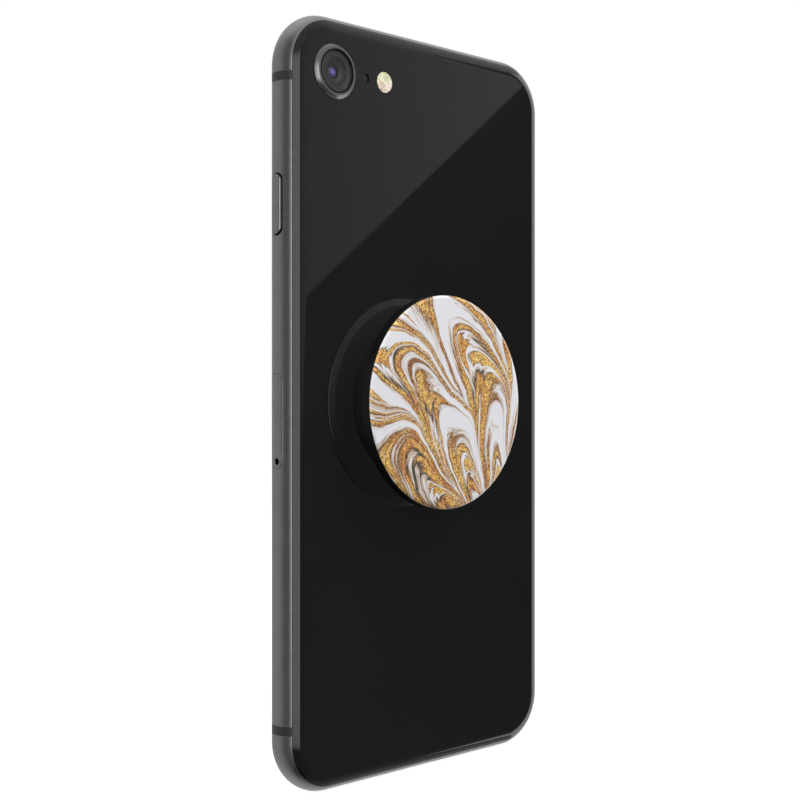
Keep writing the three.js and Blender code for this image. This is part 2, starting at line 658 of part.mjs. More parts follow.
function gripButton() {
  const { thickness, wall, rearBevel, rearBevelHeight, bevel, bevelDrop, faceDrop } = GRIP_BUTTON;
  const r = GRIP.buttonRadius;
  const low = GRIP_RISE - thickness;
  const plateLow = GRIP_RISE - GRIP_BUTTON.plate;
  const face = GRIP_RISE - faceDrop;
  return gripTurned([
    [0, plateLow], [r - wall, plateLow], [r - wall, low], [r - rearBevel, low], [r, low + rearBevelHeight],
    [r, GRIP_RISE - bevelDrop], [r - bevel, face], [0, face],
  ]);
}

function gripTop() {
  const { inset, drop, foot, side, bevel } = GRIP_TOP;
  const r = GRIP.buttonRadius - inset;
  return gripTurned([
    [0, GRIP_RISE - drop], [r - foot, GRIP_RISE - drop], [r, GRIP_RISE - side],
    [r - bevel, GRIP_RISE], [0, GRIP_RISE],
  ]);
}

// ---------------------------------------------------------------- finishes

function finish(color, roughness, metalness) {
  return () => new THREE.MeshStandardMaterial({ color, roughness, metalness });
}

const spaceGreyMetal = finish(0x5c5d60, 0.35, 0.9);
const stripPlastic = finish(0x333436, 0.5, 0);
const blackGlass = finish(0x0d0d0e, 0.06, 0.1);
const sapphire = finish(0x14141c, 0.04, 0.1);
const steel = finish(0xa9abad, 0.3, 1);
const copper = finish(0xb5673a, 0.4, 1);
const boardGreen = finish(0x16352b, 0.6, 0);
const blackPlastic = finish(0x141416, 0.45, 0);
const blackRubber = finish(0x101012, 0.8, 0);
const batteryFoil = finish(0x202226, 0.6, 0.2);
const cardPlastic = finish(0xd8d8d4, 0.5, 0);
const flashPlastic = finish(0xe8d9a0, 0.3, 0);
const marbledPrint = finish(0xddd6d2, 0.15, 0);
const tungsten = finish(0x6a6c70, 0.45, 1);

// ---------------------------------------------------------------- assembly

function piece(name, geometry, makeMaterial) {
  geometry.computeVertexNormals();
  const mesh = new THREE.Mesh(geometry, makeMaterial());
  mesh.name = name;
  return mesh;
}

function frameParts() {
  const strips = allFour(common(blank(), stripGroove(FIT_GAP)));
  const places = ['right_top', 'left_top', 'right_bottom', 'left_bottom'];
  return [
    piece('side_frame', sideFrame(), spaceGreyMetal),
    ...strips.map((strip, i) => piece(`antenna_strip_${places[i]}`, strip, stripPlastic)),
  ];
}

function keyParts() {
  return [
    piece('power_button', pressKey(POWER_KEY), spaceGreyMetal),
    piece('power_switch', keySwitch(POWER_KEY), blackPlastic),
    piece('volume_up_button', pressKey(VOLUME_UP_KEY), spaceGreyMetal),
    piece('volume_up_switch', keySwitch(VOLUME_UP_KEY), blackPlastic),
    piece('volume_down_button', pressKey(VOLUME_DOWN_KEY), spaceGreyMetal),
    piece('volume_down_switch', keySwitch(VOLUME_DOWN_KEY), blackPlastic),
    piece('mute_slider', muteSlider(), spaceGreyMetal),
    piece('mute_switch', muteSwitch(), blackPlastic),
    piece('sim_tray', simTray(), spaceGreyMetal),
    piece('sim_card', simCard(), cardPlastic),
    piece('sim_reader', simReader(), steel),
  ];
}

function frontParts() {
  return [
    piece('display_glass', displayGlass(), blackGlass),
    piece('display_gasket', adhesiveLoop(GLASS_THICKNESS + SKIN_GAP), blackRubber),
    piece('display_panel', slab(DISPLAY_PANEL), blackGlass),
    piece('backlight', slab(BACKLIGHT), cardPlastic),
    piece('display_shield', slab(DISPLAY_SHIELD), steel),
    piece('home_button_ring', homeRing(), steel),
    piece('home_button', homeButton(), blackGlass),
    piece('home_sensor', disc(HOME_SENSOR.radius, ...HOME_SENSOR.y, 0, HOME.z), boardGreen),
    piece('earpiece_mesh', earpieceMesh(), steel),
    piece('earpiece_speaker', block(EARPIECE_SPEAKER), blackPlastic),
    piece('front_camera', frontCamera(), blackPlastic),
    piece('light_sensor', block(LIGHT_SENSOR), blackPlastic),
  ];
}

function backParts() {
  return [
    piece('rear_glass', rearGlass(), blackGlass),
    piece('rear_adhesive', adhesiveLoop(BACK_LEDGE + SKIN_GAP), blackRubber),
    piece('camera_ring', cameraRing(), steel),
    piece('camera_window', cameraWindow(), sapphire),
    piece('camera_housing', cameraHousing(), steel),
    piece('lens_barrel', lensBarrel(), blackPlastic),
    piece('rear_microphone', rearMicrophone(), blackPlastic),
    piece('flash_lens', flashLens(), flashPlastic),
    piece('flash_board', flashBoard(), boardGreen),
  ];
}

function innerParts() {
  return [
    piece('logic_board', logicBoard(), boardGreen),
    piece('board_shield_front', shieldCan(FRONT_CAN), steel),
    piece('board_shield_rear', shieldCan(REAR_CAN), steel),
    piece('battery', battery(), batteryFoil),
    piece('rear_plate', rearPlate(), steel),
    piece('charging_coil', chargingCoil(), copper),
    piece('haptic_housing', hapticHousing(), steel),
    piece('haptic_mass', block(HAPTIC_MASS), tungsten),
    piece('loudspeaker', loudspeaker(), blackPlastic),
    piece('charge_port', chargePort(), blackPlastic),
    piece('bottom_microphone', bottomMicrophone(), blackPlastic),
    piece('bottom_screw_left', bottomScrew(-1), steel),
    piece('bottom_screw_right', bottomScrew(1), steel),
  ];
}

function gripParts() {
  const rings = [];
  for (let i = 0; i < RING.count; i += 1) {
    rings.push(piece(`grip_ring_${i + 1}`, gripRing(i), blackRubber));
  }
  return [
    piece('grip_pad', gripPad(), blackRubber),
    piece('grip_base', gripBase(), blackPlastic),
    ...rings,
    piece('grip_button', gripButton(), blackPlastic),
    piece('grip_top', gripTop(), marbledPrint),
  ];
}

const phone = new THREE.Group();
phone.name = 'smartphone';
for (const makeParts of [frameParts, keyParts, frontParts, backParts, innerParts, gripParts]) {
  phone.add(...makeParts());
}

export default phone;
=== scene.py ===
"""Looks of a slim smartphone with a collapsible grip on its back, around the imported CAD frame.

Shapes are worked out in millimetres in the row frame: X runs across the phone, Y from the display
to the back and Z up. to_mesh() turns them into metres.
"""
import math

import bmesh
import bpy
import numpy as np
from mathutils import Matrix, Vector


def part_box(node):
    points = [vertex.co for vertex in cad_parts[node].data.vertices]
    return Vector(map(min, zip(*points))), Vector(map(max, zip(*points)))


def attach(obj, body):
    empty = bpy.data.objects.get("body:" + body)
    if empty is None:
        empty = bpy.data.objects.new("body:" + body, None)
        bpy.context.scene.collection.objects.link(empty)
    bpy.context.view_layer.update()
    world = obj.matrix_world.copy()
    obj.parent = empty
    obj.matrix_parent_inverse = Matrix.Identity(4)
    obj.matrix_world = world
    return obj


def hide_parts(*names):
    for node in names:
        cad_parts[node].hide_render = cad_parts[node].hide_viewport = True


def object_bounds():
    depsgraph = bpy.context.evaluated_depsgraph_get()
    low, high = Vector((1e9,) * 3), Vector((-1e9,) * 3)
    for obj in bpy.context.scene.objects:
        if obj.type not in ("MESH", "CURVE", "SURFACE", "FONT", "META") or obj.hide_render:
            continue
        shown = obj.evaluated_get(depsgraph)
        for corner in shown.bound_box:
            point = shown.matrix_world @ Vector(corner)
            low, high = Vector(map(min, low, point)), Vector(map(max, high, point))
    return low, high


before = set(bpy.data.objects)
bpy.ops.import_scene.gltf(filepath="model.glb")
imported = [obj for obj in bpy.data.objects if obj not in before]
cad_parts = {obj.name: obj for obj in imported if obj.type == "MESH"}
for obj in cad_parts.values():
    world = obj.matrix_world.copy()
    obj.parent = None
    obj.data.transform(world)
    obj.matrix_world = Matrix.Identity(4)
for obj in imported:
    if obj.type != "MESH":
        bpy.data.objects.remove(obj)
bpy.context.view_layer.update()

scene = bpy.context.scene
MM = 0.001

# ------------------------------ sizes, in millimetres

CORNER_RADIUS = 10.0
SEAM_ANGLE = math.radians(50)      # where the frame meets the glass, round the half-round edge
FRAME_LIP = 0.05                   # rounding of the frame's edge beside the seam
GLASS_LIP = 0.035
SEAM_GAP = 0.012
LEDGE_DEPTH = 1.15
GLASS_THICKNESS = 1.0
WALL_THICKNESS = 3.8
HOLE_DEPTH = 2.5                   # how far a cutter goes through a glass panel

KEYS = (
    ("power_button", "right", "power_key"),
    ("volume_up_button", "left", "volume_up_key"),
    ("volume_down_button", "left", "volume_down_key"),
)
KEY_HALF_WIDTH = 1.1
KEY_SLOT_GAP = 0.24
KEY_PROUD = 0.36
KEY_ROUNDING = 0.16
FLANGE_OVERHANG = 0.6
FLANGE_THICKNESS = 0.6

TRAY_HALF_WIDTH = 1.4
TRAY_GAP = 0.035
TRAY_DOOR_THICKNESS = 1.7
SLED = {"half_width": 6.9, "middle": -2.4, "radius": 1.2, "low": 3.2, "high": 4.1, "rounding": 0.08}
CARD_RECESS = (6.3, 4.55, 3.38, 5.0)      # half length, half width, lowest and highest depth
CARD_WINDOW = (5.2, 3.4, 3.0, 3.5)
EJECT_HOLE = {"below_centre": 7.07, "radius": 0.57, "lip": 0.1}
MUTE_SLOT = (1.4, 3.0, 0.7)               # half width, half length and corner radius
MUTE_TAB = (0.85, 2.85, 0.6)
MUTE_SHIFT = 0.5
MUTE_ROUNDING = 0.22
MUTE_PROUD = 0.05
MUTE_TONGUE_HALF_WIDTH = 1.2

STRIPS = [f"antenna_strip_{side}_{end}" for end in ("top", "bottom") for side in ("right", "left")]
STRIP_HALF_WIDTH = 0.8
STRIP_DEPTH = 1.29
STRIP_CLEARANCE = 0.06

PORT = {"half_width": 4.45, "half_height": 1.55, "lip": 0.18}
SOUND_HOLES = {"first": 12.0, "pitch": 2.3, "count": 6, "radius": 0.65, "lip": 0.09}
EDGE_HOLE_DEPTH = 3.0
SCREW_X = 7.2
SCREW = {"radius": 0.85, "height": 0.75, "rounding": 0.12}
SOCKET = {"radius": 0.36, "lobe": 0.09, "depth": 0.4}
SCREW_HOLE = {"radius": 0.95, "depth": 1.1, "lip": 0.1}

MIC_RADIUS = 0.78
FRONT_LENS_RADIUS = 1.5
ACTIVE_HALF_WIDTH, ACTIVE_HALF_HEIGHT = 29.2, 52.0
WEAVE_PITCH = 0.2
WIRE_THICKNESS = 0.1

CORNER_STEPS = 24
ROUND_STEPS = 96


class Box:
    """Where a CAD node is."""

    def __init__(self, node):
        low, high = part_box(node)
        self.low, self.high = np.array(low) / MM, np.array(high) / MM
        self.middle = (self.low + self.high) / 2
        self.half = (self.high - self.low) / 2
        self.x, self.y, self.z = self.middle
        self.radius = self.half[0]


band = Box("side_frame")
HALF_WIDTH = band.half[0]
HALF_HEIGHT = band.half[2]
THICKNESS = Box("rear_glass").high[1] - Box("display_glass").low[1]
MIDDLE = THICKNESS / 2
EDGE = THICKNESS / 2
BACK = MIDDLE + EDGE
SPINE_X = HALF_WIDTH - EDGE
SPINE_Z = HALF_HEIGHT - EDGE
SPINE_RADIUS = CORNER_RADIUS - EDGE

# ------------------------------ outlines and rings


def rounded_outline(half_a, half_b, radius, steps=CORNER_STEPS):
    """Points of a rounded rectangle about the origin, anticlockwise."""
    least_flat = 0.004
    radius = min(radius, half_a - least_flat, half_b - least_flat)
    points = []
    for quarter in range(4):
        a = (half_a - radius) * (1 if quarter in (0, 3) else -1)
        b = (half_b - radius) * (1 if quarter in (0, 1) else -1)
        for step in range(steps + 1):
            angle = math.pi / 2 * (quarter + step / steps)
            points.append((a + radius * math.cos(angle), b + radius * math.sin(angle)))
    return np.array(points)


def circle(radius, steps=ROUND_STEPS):
    angles = np.arange(steps) * 2 * math.pi / steps
    return np.stack([radius * np.cos(angles), radius * np.sin(angles)], 1)


def pill(half_width, half_length, steps=12):
    return rounded_outline(half_width, half_length, half_width, steps)


def grown(shape, *sizes, steps=12):
    """An outline as a function of how far it is grown outwards."""
    return lambda grow: shape(*(size + grow for size in sizes), steps)


def ring_at(outline, y, x=0.0, z=0.0):
    """An X-Z outline placed at a depth, about a point."""
    return np.stack([x + outline[:, 0], np.full(len(outline), y), z + outline[:, 1]], 1)


def fillet(points, steps=6):
    """An open profile whose corners are rounded: each point is (a, b) or (a, b, radius)."""
    rounded = []
    for i, point in enumerate(points):
        corner = np.array(point[:2], float)
        radius = point[2] if len(point) > 2 else 0
        if radius == 0 or i in (0, len(points) - 1):
            rounded.append(corner)
            continue
        before = np.array(points[i - 1][:2], float) - corner
        after = np.array(points[i + 1][:2], float) - corner
        before /= np.linalg.norm(before)
        after /= np.linalg.norm(after)
        half = math.acos(np.clip(before @ after, -1, 1)) / 2
        reach = radius / math.tan(half)
        middle = corner + (before + after) / np.linalg.norm(before + after) * radius / math.sin(half)
        start, end = corner + before * reach - middle, corner + after * reach - middle
        turn = math.pi - 2 * half
        for step in range(steps + 1):
            share = step / steps
            along = math.sin(turn * (1 - share)) * start + math.sin(turn * share) * end
            rounded.append(middle + along / math.sin(turn))
    return np.array(rounded)


def arc(middle, radius, first, last, steps):
    """Points of an arc, with its angles in radians."""
    angles = np.linspace(first, last, steps + 1)
    return np.stack([middle[0] + radius * np.cos(angles), middle[1] + radius * np.sin(angles)], 1)


# ------------------------------ the phone's rounded skin


def skin_normals(points):
    """Outward directions of the phone's half-round skin at points on it, and how far from its spine."""
    core = np.array([SPINE_X - SPINE_RADIUS, SPINE_Z - SPINE_RADIUS])
    flat = points[:, [0, 2]]
    beyond = flat - np.clip(flat, -core, core)
    reach = np.linalg.norm(beyond, axis=1, keepdims=True)
    beyond *= np.maximum(reach - SPINE_RADIUS, 0) / np.maximum(reach, 1e-9)
    away = np.stack([beyond[:, 0], points[:, 1] - MIDDLE, beyond[:, 1]], 1)
    distance = np.linalg.norm(away, axis=1)
    return away / np.maximum(distance, 1e-9)[:, None], distance


def spine_sweep(profile):
    """Rings round the phone, one for each (offset outwards from the spine, depth) of a profile."""
    path = rounded_outline(SPINE_X, SPINE_Z, SPINE_RADIUS)
    unit = rounded_outline(SPINE_X + 1, SPINE_Z + 1, SPINE_RADIUS + 1) - path
    return [ring_at(path + unit * offset, depth) for offset, depth in profile]


def surface(y, half_length):
    """How far out the skin is at a depth, beyond a straight stretch of the spine."""
    return half_length + np.sqrt(np.maximum(EDGE ** 2 - (y - MIDDLE) ** 2, 0))


# ------------------------------ meshes


def linked(name, data):
    """A new object in the scene."""
    thing = bpy.data.objects.new(name, data)
    scene.collection.objects.link(thing)
    return thing


def to_mesh(name, vertices, faces):
    """A mesh in metres from points in millimetres, with its faces turned outwards."""
    mesh = bpy.data.meshes.new(name)
    mesh.from_pydata((np.array(vertices) * MM).tolist(), [], faces)
    work = bmesh.new()
    work.from_mesh(mesh)
    bmesh.ops.remove_doubles(work, verts=work.verts, dist=0.0005 * MM)
    bmesh.ops.recalc_face_normals(work, faces=work.faces)
    work.to_mesh(mesh)
    work.free()
    return mesh


def loft(rings, wrap=False):
    """Vertices and faces of a skin through closed rings that have the same number of points."""
    count = len(rings[0])
    faces = []
    for i in range(len(rings) if wrap else len(rings) - 1):
        first, second = i * count, (i + 1) % len(rings) * count
        for j in range(count):
            k = (j + 1) % count
            faces.append((first + j, first + k, second + k, second + j))
    if not wrap:
        faces.append(tuple(range(count)))
        faces.append(tuple(range((len(rings) - 1) * count, len(rings) * count)))
    return np.concatenate(rings), faces


def supported(profile, near=0.03, least=0.25):
    """The profile with a point close to each end of its long runs, which keeps them flat when shaded."""
    points = [np.array(profile[0], float)]
    for first, last in zip(np.array(profile[:-1], float), np.array(profile[1:], float)):
        run = last - first
        length = np.linalg.norm(run)
        if length > least:
            points += [first + run * near / length, last - run * near / length]
        points.append(last)
    return points


def lathe(profile, at, steps=ROUND_STEPS):
    """Turns (radius, depth) points about an axis along Y. A closed profile makes a ring."""
    rings = [ring_at(circle(max(radius, 1e-5), steps), depth, at.x, at.z)
             for radius, depth in supported(profile)]
    closed = np.allclose(profile[0], profile[-1])
    return loft(rings[:-1] if closed else rings, wrap=closed)


def merged(parts):
    """One set of vertices and faces from several."""
    vertices, faces, start = [], [], 0
    for points, polygons in parts:
        vertices.append(np.array(points))
        faces += [tuple(start + i for i in polygon) for polygon in polygons]
        start += len(points)
    return np.concatenate(vertices), faces


def box_part(low, high):
    """A plain block between two corners."""
    outline = np.array([(low[0], low[2]), (high[0], low[2]), (high[0], high[2]), (low[0], high[2])])
    return loft([ring_at(outline, y) for y in (low[1], high[1])])


def carve(mesh, *cutters):
    """The mesh with the cutters taken out of it."""
    target = linked("carved", mesh)
    tool = linked("tool", to_mesh("tool", *merged(cutters)))
    modifier = target.modifiers.new("carve", "BOOLEAN")
    modifier.operation = "DIFFERENCE"
    modifier.solver = "EXACT"
    modifier.object = tool
    bpy.context.view_layer.update()
    view = target.evaluated_get(bpy.context.evaluated_depsgraph_get())
    result = bpy.data.meshes.new_from_object(view)
    for thing in (target, tool):
        bpy.data.objects.remove(thing)
    return result


def read_all(items, name, kind=float, size=1):
    """One attribute of all of a mesh's items."""
    values = np.zeros(len(items) * size, kind)
    items.foreach_get(name, values)
    return values.reshape(-1, size) if size > 1 else values


def shade(mesh, sharp_degrees=32, on_skin=False):
    """Smooths a mesh up to an angle. On the phone's skin the directions come from its formula."""
    mesh.shade_smooth()
    mesh.set_sharp_from_angle(angle=math.radians(sharp_degrees))
    if not on_skin:
        return
    normals = read_all(mesh.corner_normals, "vector", size=3)
    corners = read_all(mesh.loops, "vertex_index", int)
    places = read_all(mesh.vertices, "co", size=3)
    ideal, distance = skin_normals(places[corners] / MM)
    totals = read_all(mesh.polygons, "loop_total", int)
    flat = np.repeat(read_all(mesh.polygons, "normal", size=3), totals, axis=0)
    skin = (np.abs(distance - EDGE) < 0.02) & ((flat * ideal).sum(1) > 0.96)
    normals[skin] = ideal[skin]
    mesh.normals_split_custom_set(normals.tolist())


def new_piece(name, shape, finish, body="root", slot=None, stands_for=(), mirrored=True, **shading):
    """A piece of the object from a mesh, or from vertices and faces in millimetres."""
    mesh = shape if isinstance(shape, bpy.types.Mesh) else to_mesh(name, *shape)
    mesh.name = name
    shade(mesh, **shading)
    mesh.materials.clear()
    mesh.materials.append(finish.material)
    thing = linked(name, mesh)
    thing.visible_glossy = mirrored
    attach(thing, body)
    if stands_for:
        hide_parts(*stands_for)
    return thing


def turned_piece(name, profile, at, finish, rounding_steps=6, steps=ROUND_STEPS, **options):
    """A piece turned about an axis along Y through the middle of a CAD node."""
    return new_piece(name, lathe(fillet(profile, rounding_steps), at, steps), finish, **options)


# ------------------------------ cutters and raised shapes on the edges

SIDES = {
    "right": (SPINE_X, lambda out, y, along: (out, y, along)),
    "left": (SPINE_X, lambda out, y, along: (-out, y, along)),
    "bottom": (SPINE_Z, lambda out, y, along: (along, y, -out)),
}


def edge_rings(side, outline, levels, middle=0.0, depth=0.0):
    """Rings on an edge of the phone.

    outline(grow) gives (depth, along) points, and each level is (grow, height above the skin) or
    (grow, None, distance out) for a ring in a plane.
    """
    half_length, place = SIDES[side]
    rings = []
    for level in levels:
        flat = outline(level[0]) + (MIDDLE + depth, middle)
        if level[1] is None:
            out = np.full(len(flat), level[2])
        else:
            out = surface(flat[:, 0], half_length) + level[1]
        rings.append(np.stack(place(out, flat[:, 0], flat[:, 1]), 1))
    return rings


def lip_levels(lip, above, overlap):
    """Levels that flare a cutter round a rounded lip where it leaves a surface."""
    turns = np.linspace(math.pi / 2, 0, 5)
    return [(lip, above)] + [(lip * (1 - math.cos(turn)), lip * (math.sin(turn) - 1) - overlap)
                             for turn in turns]


def slot_cutter(side, outline, inner, middle=0.0, lip=0.07):
    """Cuts into an edge of the phone, down to a distance from its centre."""
    levels = lip_levels(lip, 1.5, 0.004) + [(0, None, inner)]
    return loft(edge_rings(side, outline, levels, middle))


def face_cutter(outline, x, z, side, lip=0.05):
    """Cuts a hole through a glass panel, with a rounded lip at its face."""
    levels = lip_levels(lip, 1.0, 0.002) + [(0, -HOLE_DEPTH)]
    return loft([ring_at(outline(grow), MIDDLE + side * (EDGE + height), x, z) for grow, height in levels])


def round_hole(node, gap, side, radius=None, lip=0.05):
    at = Box(node)
    outline = grown(circle, (radius or at.radius) + gap, steps=ROUND_STEPS)
    return face_cutter(outline, at.x, at.z, side, lip)


def raised(side, outline, base, middle, proud, rounding, shrink_to, depth=0.0, steps=6):
    """A pad that rises from base to follow the skin, with a rounded rim and a filled top."""
    levels = [(0, None, base), (0, proud - rounding)]
    for angle in np.linspace(0, math.pi / 2, steps + 1)[1:]:
        levels.append((rounding * (math.cos(angle) - 1), proud + rounding * (math.sin(angle) - 1)))
    levels += [(grow, proud) for grow in np.linspace(-rounding, -shrink_to, 5)[1:]]
    return loft(edge_rings(side, outline, levels, middle, depth))


# ------------------------------ node trees


def per_mm(count):
    """A texture scale in features per millimetre, for object coordinates in metres."""
    return count / MM


class Field:
    """An output in a node tree, which can be added, subtracted and multiplied."""

    def __init__(self, nodes, socket):
        self.nodes, self.socket = nodes, socket

    def __add__(self, other):
        return self.nodes.math("ADD", self, other)

    def __sub__(self, other):
        return self.nodes.math("SUBTRACT", self, other)

    def __mul__(self, other):
        return self.nodes.math("MULTIPLY", self, other)


class Nodes:
    """Builds the node tree of a material or a world."""

    def __init__(self, owner, empty=False):
        owner.use_nodes = True
        self.tree = owner.node_tree
        if empty:
            self.tree.nodes.clear()

    def node(self, kind, inputs=None, **settings):
        node = self.tree.nodes.new("ShaderNode" + kind)
        for key, value in settings.items():
            setattr(node, key, value)
        for key, value in (inputs or {}).items():
            self.feed(node.inputs[key], value)
        return node

    def add(self, kind, inputs=None, output=0, **settings):
        return Field(self, self.node(kind, inputs, **settings).outputs[output])

    def feed(self, socket, value):
        if isinstance(value, Field):
            self.tree.links.new(value.socket, socket)
        elif isinstance(value, tuple) and len(value) == 3 and len(socket.default_value) == 4:
            socket.default_value = (*value, 1)
        else:
            socket.default_value = value

    def math(self, operation, first, second=0.0, clamp=False):
        return self.add("Math", {0: first, 1: second}, operation=operation, use_clamp=clamp)

    def range(self, value, low, high, first, last, smooth=False):
        kind = "SMOOTHSTEP" if smooth else "LINEAR"
        inputs = {"Value": value, "From Min": low, "From Max": high, "To Min": first, "To Max": last}
        return self.add("MapRange", inputs, interpolation_type=kind)


class Finish(Nodes):
    """A node material about one Principled shader."""

    def __init__(self, name, **values):
        self.material = bpy.data.materials.new(name)
        super().__init__(self.material)
        self.shader = self.tree.nodes["Principled BSDF"]
        self.place = self.add("TexCoord", output="Object")
        self.set(**values)

    def set(self, **values):
        """Feeds the shader's sockets; base_color means Base Color."""
        for key, value in values.items():
            title = key.replace("_", " ").title().replace("Ior", "IOR")
            self.feed(self.shader.inputs[title], value)
        return self

    def noise(self, scale, detail=3.0, place=None):
        inputs = {"Vector": place or self.place, "Scale": scale, "Detail": detail, "Roughness": 0.5}
        return self.add("TexNoise", inputs, "Fac")

    def wave(self, scale, **settings):
        return self.add("TexWave", {"Scale": scale, "Vector": self.place}, "Fac", **settings)

    def cells(self, scale):
        """Distances and random greys of a cell pattern."""
        node = self.node("TexVoronoi", {"Vector": self.place, "Scale": scale})
        grey = self.add("RGBToBW", {0: Field(self, node.outputs["Color"])})
        return Field(self, node.outputs["Distance"]), grey

    def split(self, place=None):
        node = self.node("SeparateXYZ", {0: place or self.place})
        return [Field(self, output) for output in node.outputs]

    def ramp(self, value, stops):
        """A colour or grey for each (position, colour)."""
        node = self.node("ValToRGB", {"Fac": value})
        for _ in stops[2:]:
            node.color_ramp.elements.new(1)
        for element, (position, colour) in zip(node.color_ramp.elements, stops):
            element.position = position
            element.color = (*colour, 1) if isinstance(colour, tuple) else (colour, colour, colour, 1)
        return Field(self, node.outputs["Color"])

    def cloud(self, value, first, last):
        """A mix of two colours that follows a noise."""
        return self.ramp(value, [(0.3, first), (0.7, last)])

    def mix(self, share, first, second, blend="MIX"):
        return self.add("Mix", {0: share, 6: first, 7: second}, 2, data_type="RGBA", blend_type=blend)

    def bump(self, height, distance_mm):
        inputs = {"Height": height, "Distance": distance_mm * MM, "Strength": 1.0}
        return self.set(normal=self.add("Bump", inputs))

    def vary_roughness(self, value, first, last):
        return self.set(roughness=self.range(value, 0.3, 0.7, first, last))


# ------------------------------ materials


def speckled(name, colours, roughness, scale, bump_mm, **values):
    """A material whose colour, roughness and surface all vary with fine noise."""
    finish = Finish(name, **values)
    grain = finish.noise(per_mm(scale), 4.0)
    patches = finish.noise(per_mm(scale / 30), 2.0)
    finish.set(base_color=finish.cloud(grain * 0.6 + patches * 0.4, *colours))
    finish.vary_roughness(grain, *roughness)
    return finish.bump(grain, bump_mm)


def moulded_black(name, level=0.011, roughness=(0.34, 0.5), scale=7, bump_mm=0.004, **values):
    colours = (level * 0.75,) * 3, (level * 1.3, level * 1.3, level * 1.36)
    return speckled(name, colours, roughness, scale, bump_mm, **values)


def polished_metal(name, dark, light, roughness):
    """Metal with the finest turned lines."""
    finish = Finish(name, metallic=1.0)
    x, y, z = finish.split()
    drawn_out = 0.05
    place = finish.add("CombineXYZ", {0: x * drawn_out, 1: y, 2: z * drawn_out})
    lines = finish.noise(per_mm(20), 2.0, place)
    finish.set(base_color=finish.cloud(lines, dark, light))
    finish.vary_roughness(lines, *roughness)
    return finish.bump(lines, 0.001)


def back_glass():
    """Clear polished glass over black ink, with the faintest haze."""
    finish = Finish("back_glass", ior=1.5)
    haze = finish.noise(per_mm(0.06))
    grain = finish.noise(per_mm(5), 4.0)
    finish.set(base_color=finish.cloud(haze, (0.0028, 0.0028, 0.0030), (0.0040, 0.0040, 0.0042)))
    finish.vary_roughness(haze, 0.012, 0.03)
    return finish.bump(grain, 0.00002)


def front_glass():
    """Black-bordered cover glass; the display behind it is off and a shade lighter than its border."""
    finish = Finish("front_glass", ior=1.5)
    x, _, z = finish.split()
    edge = 0.05

    def within(value, half):
        return finish.range(finish.math("ABSOLUTE", value), (half - edge) * MM, half * MM, 1, 0)

    inside = within(x, ACTIVE_HALF_WIDTH) * within(z, ACTIVE_HALF_HEIGHT)
    rows = finish.wave(per_mm(1.6), bands_direction="X")
    panel = finish.ramp(rows, [(0.0, (0.0065, 0.0066, 0.0075)), (1.0, (0.0080, 0.0080, 0.0092))])
    haze = finish.noise(per_mm(0.06))
    border = finish.cloud(haze, (0.0020, 0.0020, 0.0022), (0.0030, 0.0030, 0.0032))
    finish.set(base_color=finish.mix(inside, border, panel))
    return finish.vary_roughness(haze, 0.012, 0.035)


def clear_glass():
    finish = Finish("clear_glass", base_color=(0.93, 0.93, 0.96), transmission_weight=1.0, ior=1.3)
    return finish.vary_roughness(finish.noise(per_mm(0.8)), 0.0, 0.02)


def lens_coating_and_painted_glint(lens):
    """A dark coated lens with a painted violet glint in its colour, brightest at its middle."""
    finish = Finish("lens_coating_and_painted_glint", specular_ior_level=0.35)
    x, _, z = finish.split()
    dx, dz = x - lens.x * MM, z - lens.z * MM
    drift = finish.noise(per_mm(1.2), 2.0) * (0.25 * MM) + finish.math("SQRT", dx * dx + dz * dz)
    # Painted glint: the base colour is a bright violet at the middle of the lens and fades to near black
    # towards its rim.
    glow = finish.ramp(finish.range(drift, 0.15 * MM, 1.25 * MM, 0, 1), [
        (0.0, (0.34, 0.27, 0.78)), (0.2, (0.16, 0.11, 0.50)), (0.42, (0.05, 0.035, 0.19)),
        (0.7, (0.016, 0.012, 0.05)), (1.0, (0.008, 0.008, 0.012)),
    ])
    return finish.set(base_color=glow, roughness=finish.range(drift, 0, 1.2 * MM, 0.28, 0.4))


def ribbed_black():
    """Matt black plastic with fine turned ribs, for light baffles."""
    finish = Finish("baffle_black", specular_ior_level=0.3)
    rib_pitch = 0.22
    grain = finish.noise(per_mm(10))
    ribs = finish.wave(per_mm(0.32 / rib_pitch), bands_direction="Y")
    finish.set(base_color=finish.cloud(grain, (0.006, 0.006, 0.007), (0.013, 0.013, 0.014)))
    finish.set(roughness=finish.range(ribs, 0, 1, 0.5, 0.7))
    return finish.bump(ribs, 0.01)


def flash_material(flash):
    """Two clear-topped emitters: a pale yellow one above and a warm pink one below."""
    finish = Finish("flash_emitters", coat_weight=1.0, coat_roughness=0.06)
    z = finish.split()[2]
    distance, grey = finish.cells(per_mm(2.1))
    upper = finish.range(distance * (0.5 * MM) + z, (flash.z - 0.15) * MM, (flash.z + 0.35) * MM, 0, 1)
    tint = finish.mix(upper, (0.83, 0.62, 0.50), (0.83, 0.80, 0.46))
    pale = finish.mix(finish.range(grey, 0.2, 0.8, 0, 0.75), tint, (0.96, 0.93, 0.80))
    finish.set(base_color=pale, roughness=finish.range(grey, 0.2, 0.8, 0.15, 0.4))
    return finish.bump(distance, 0.12)


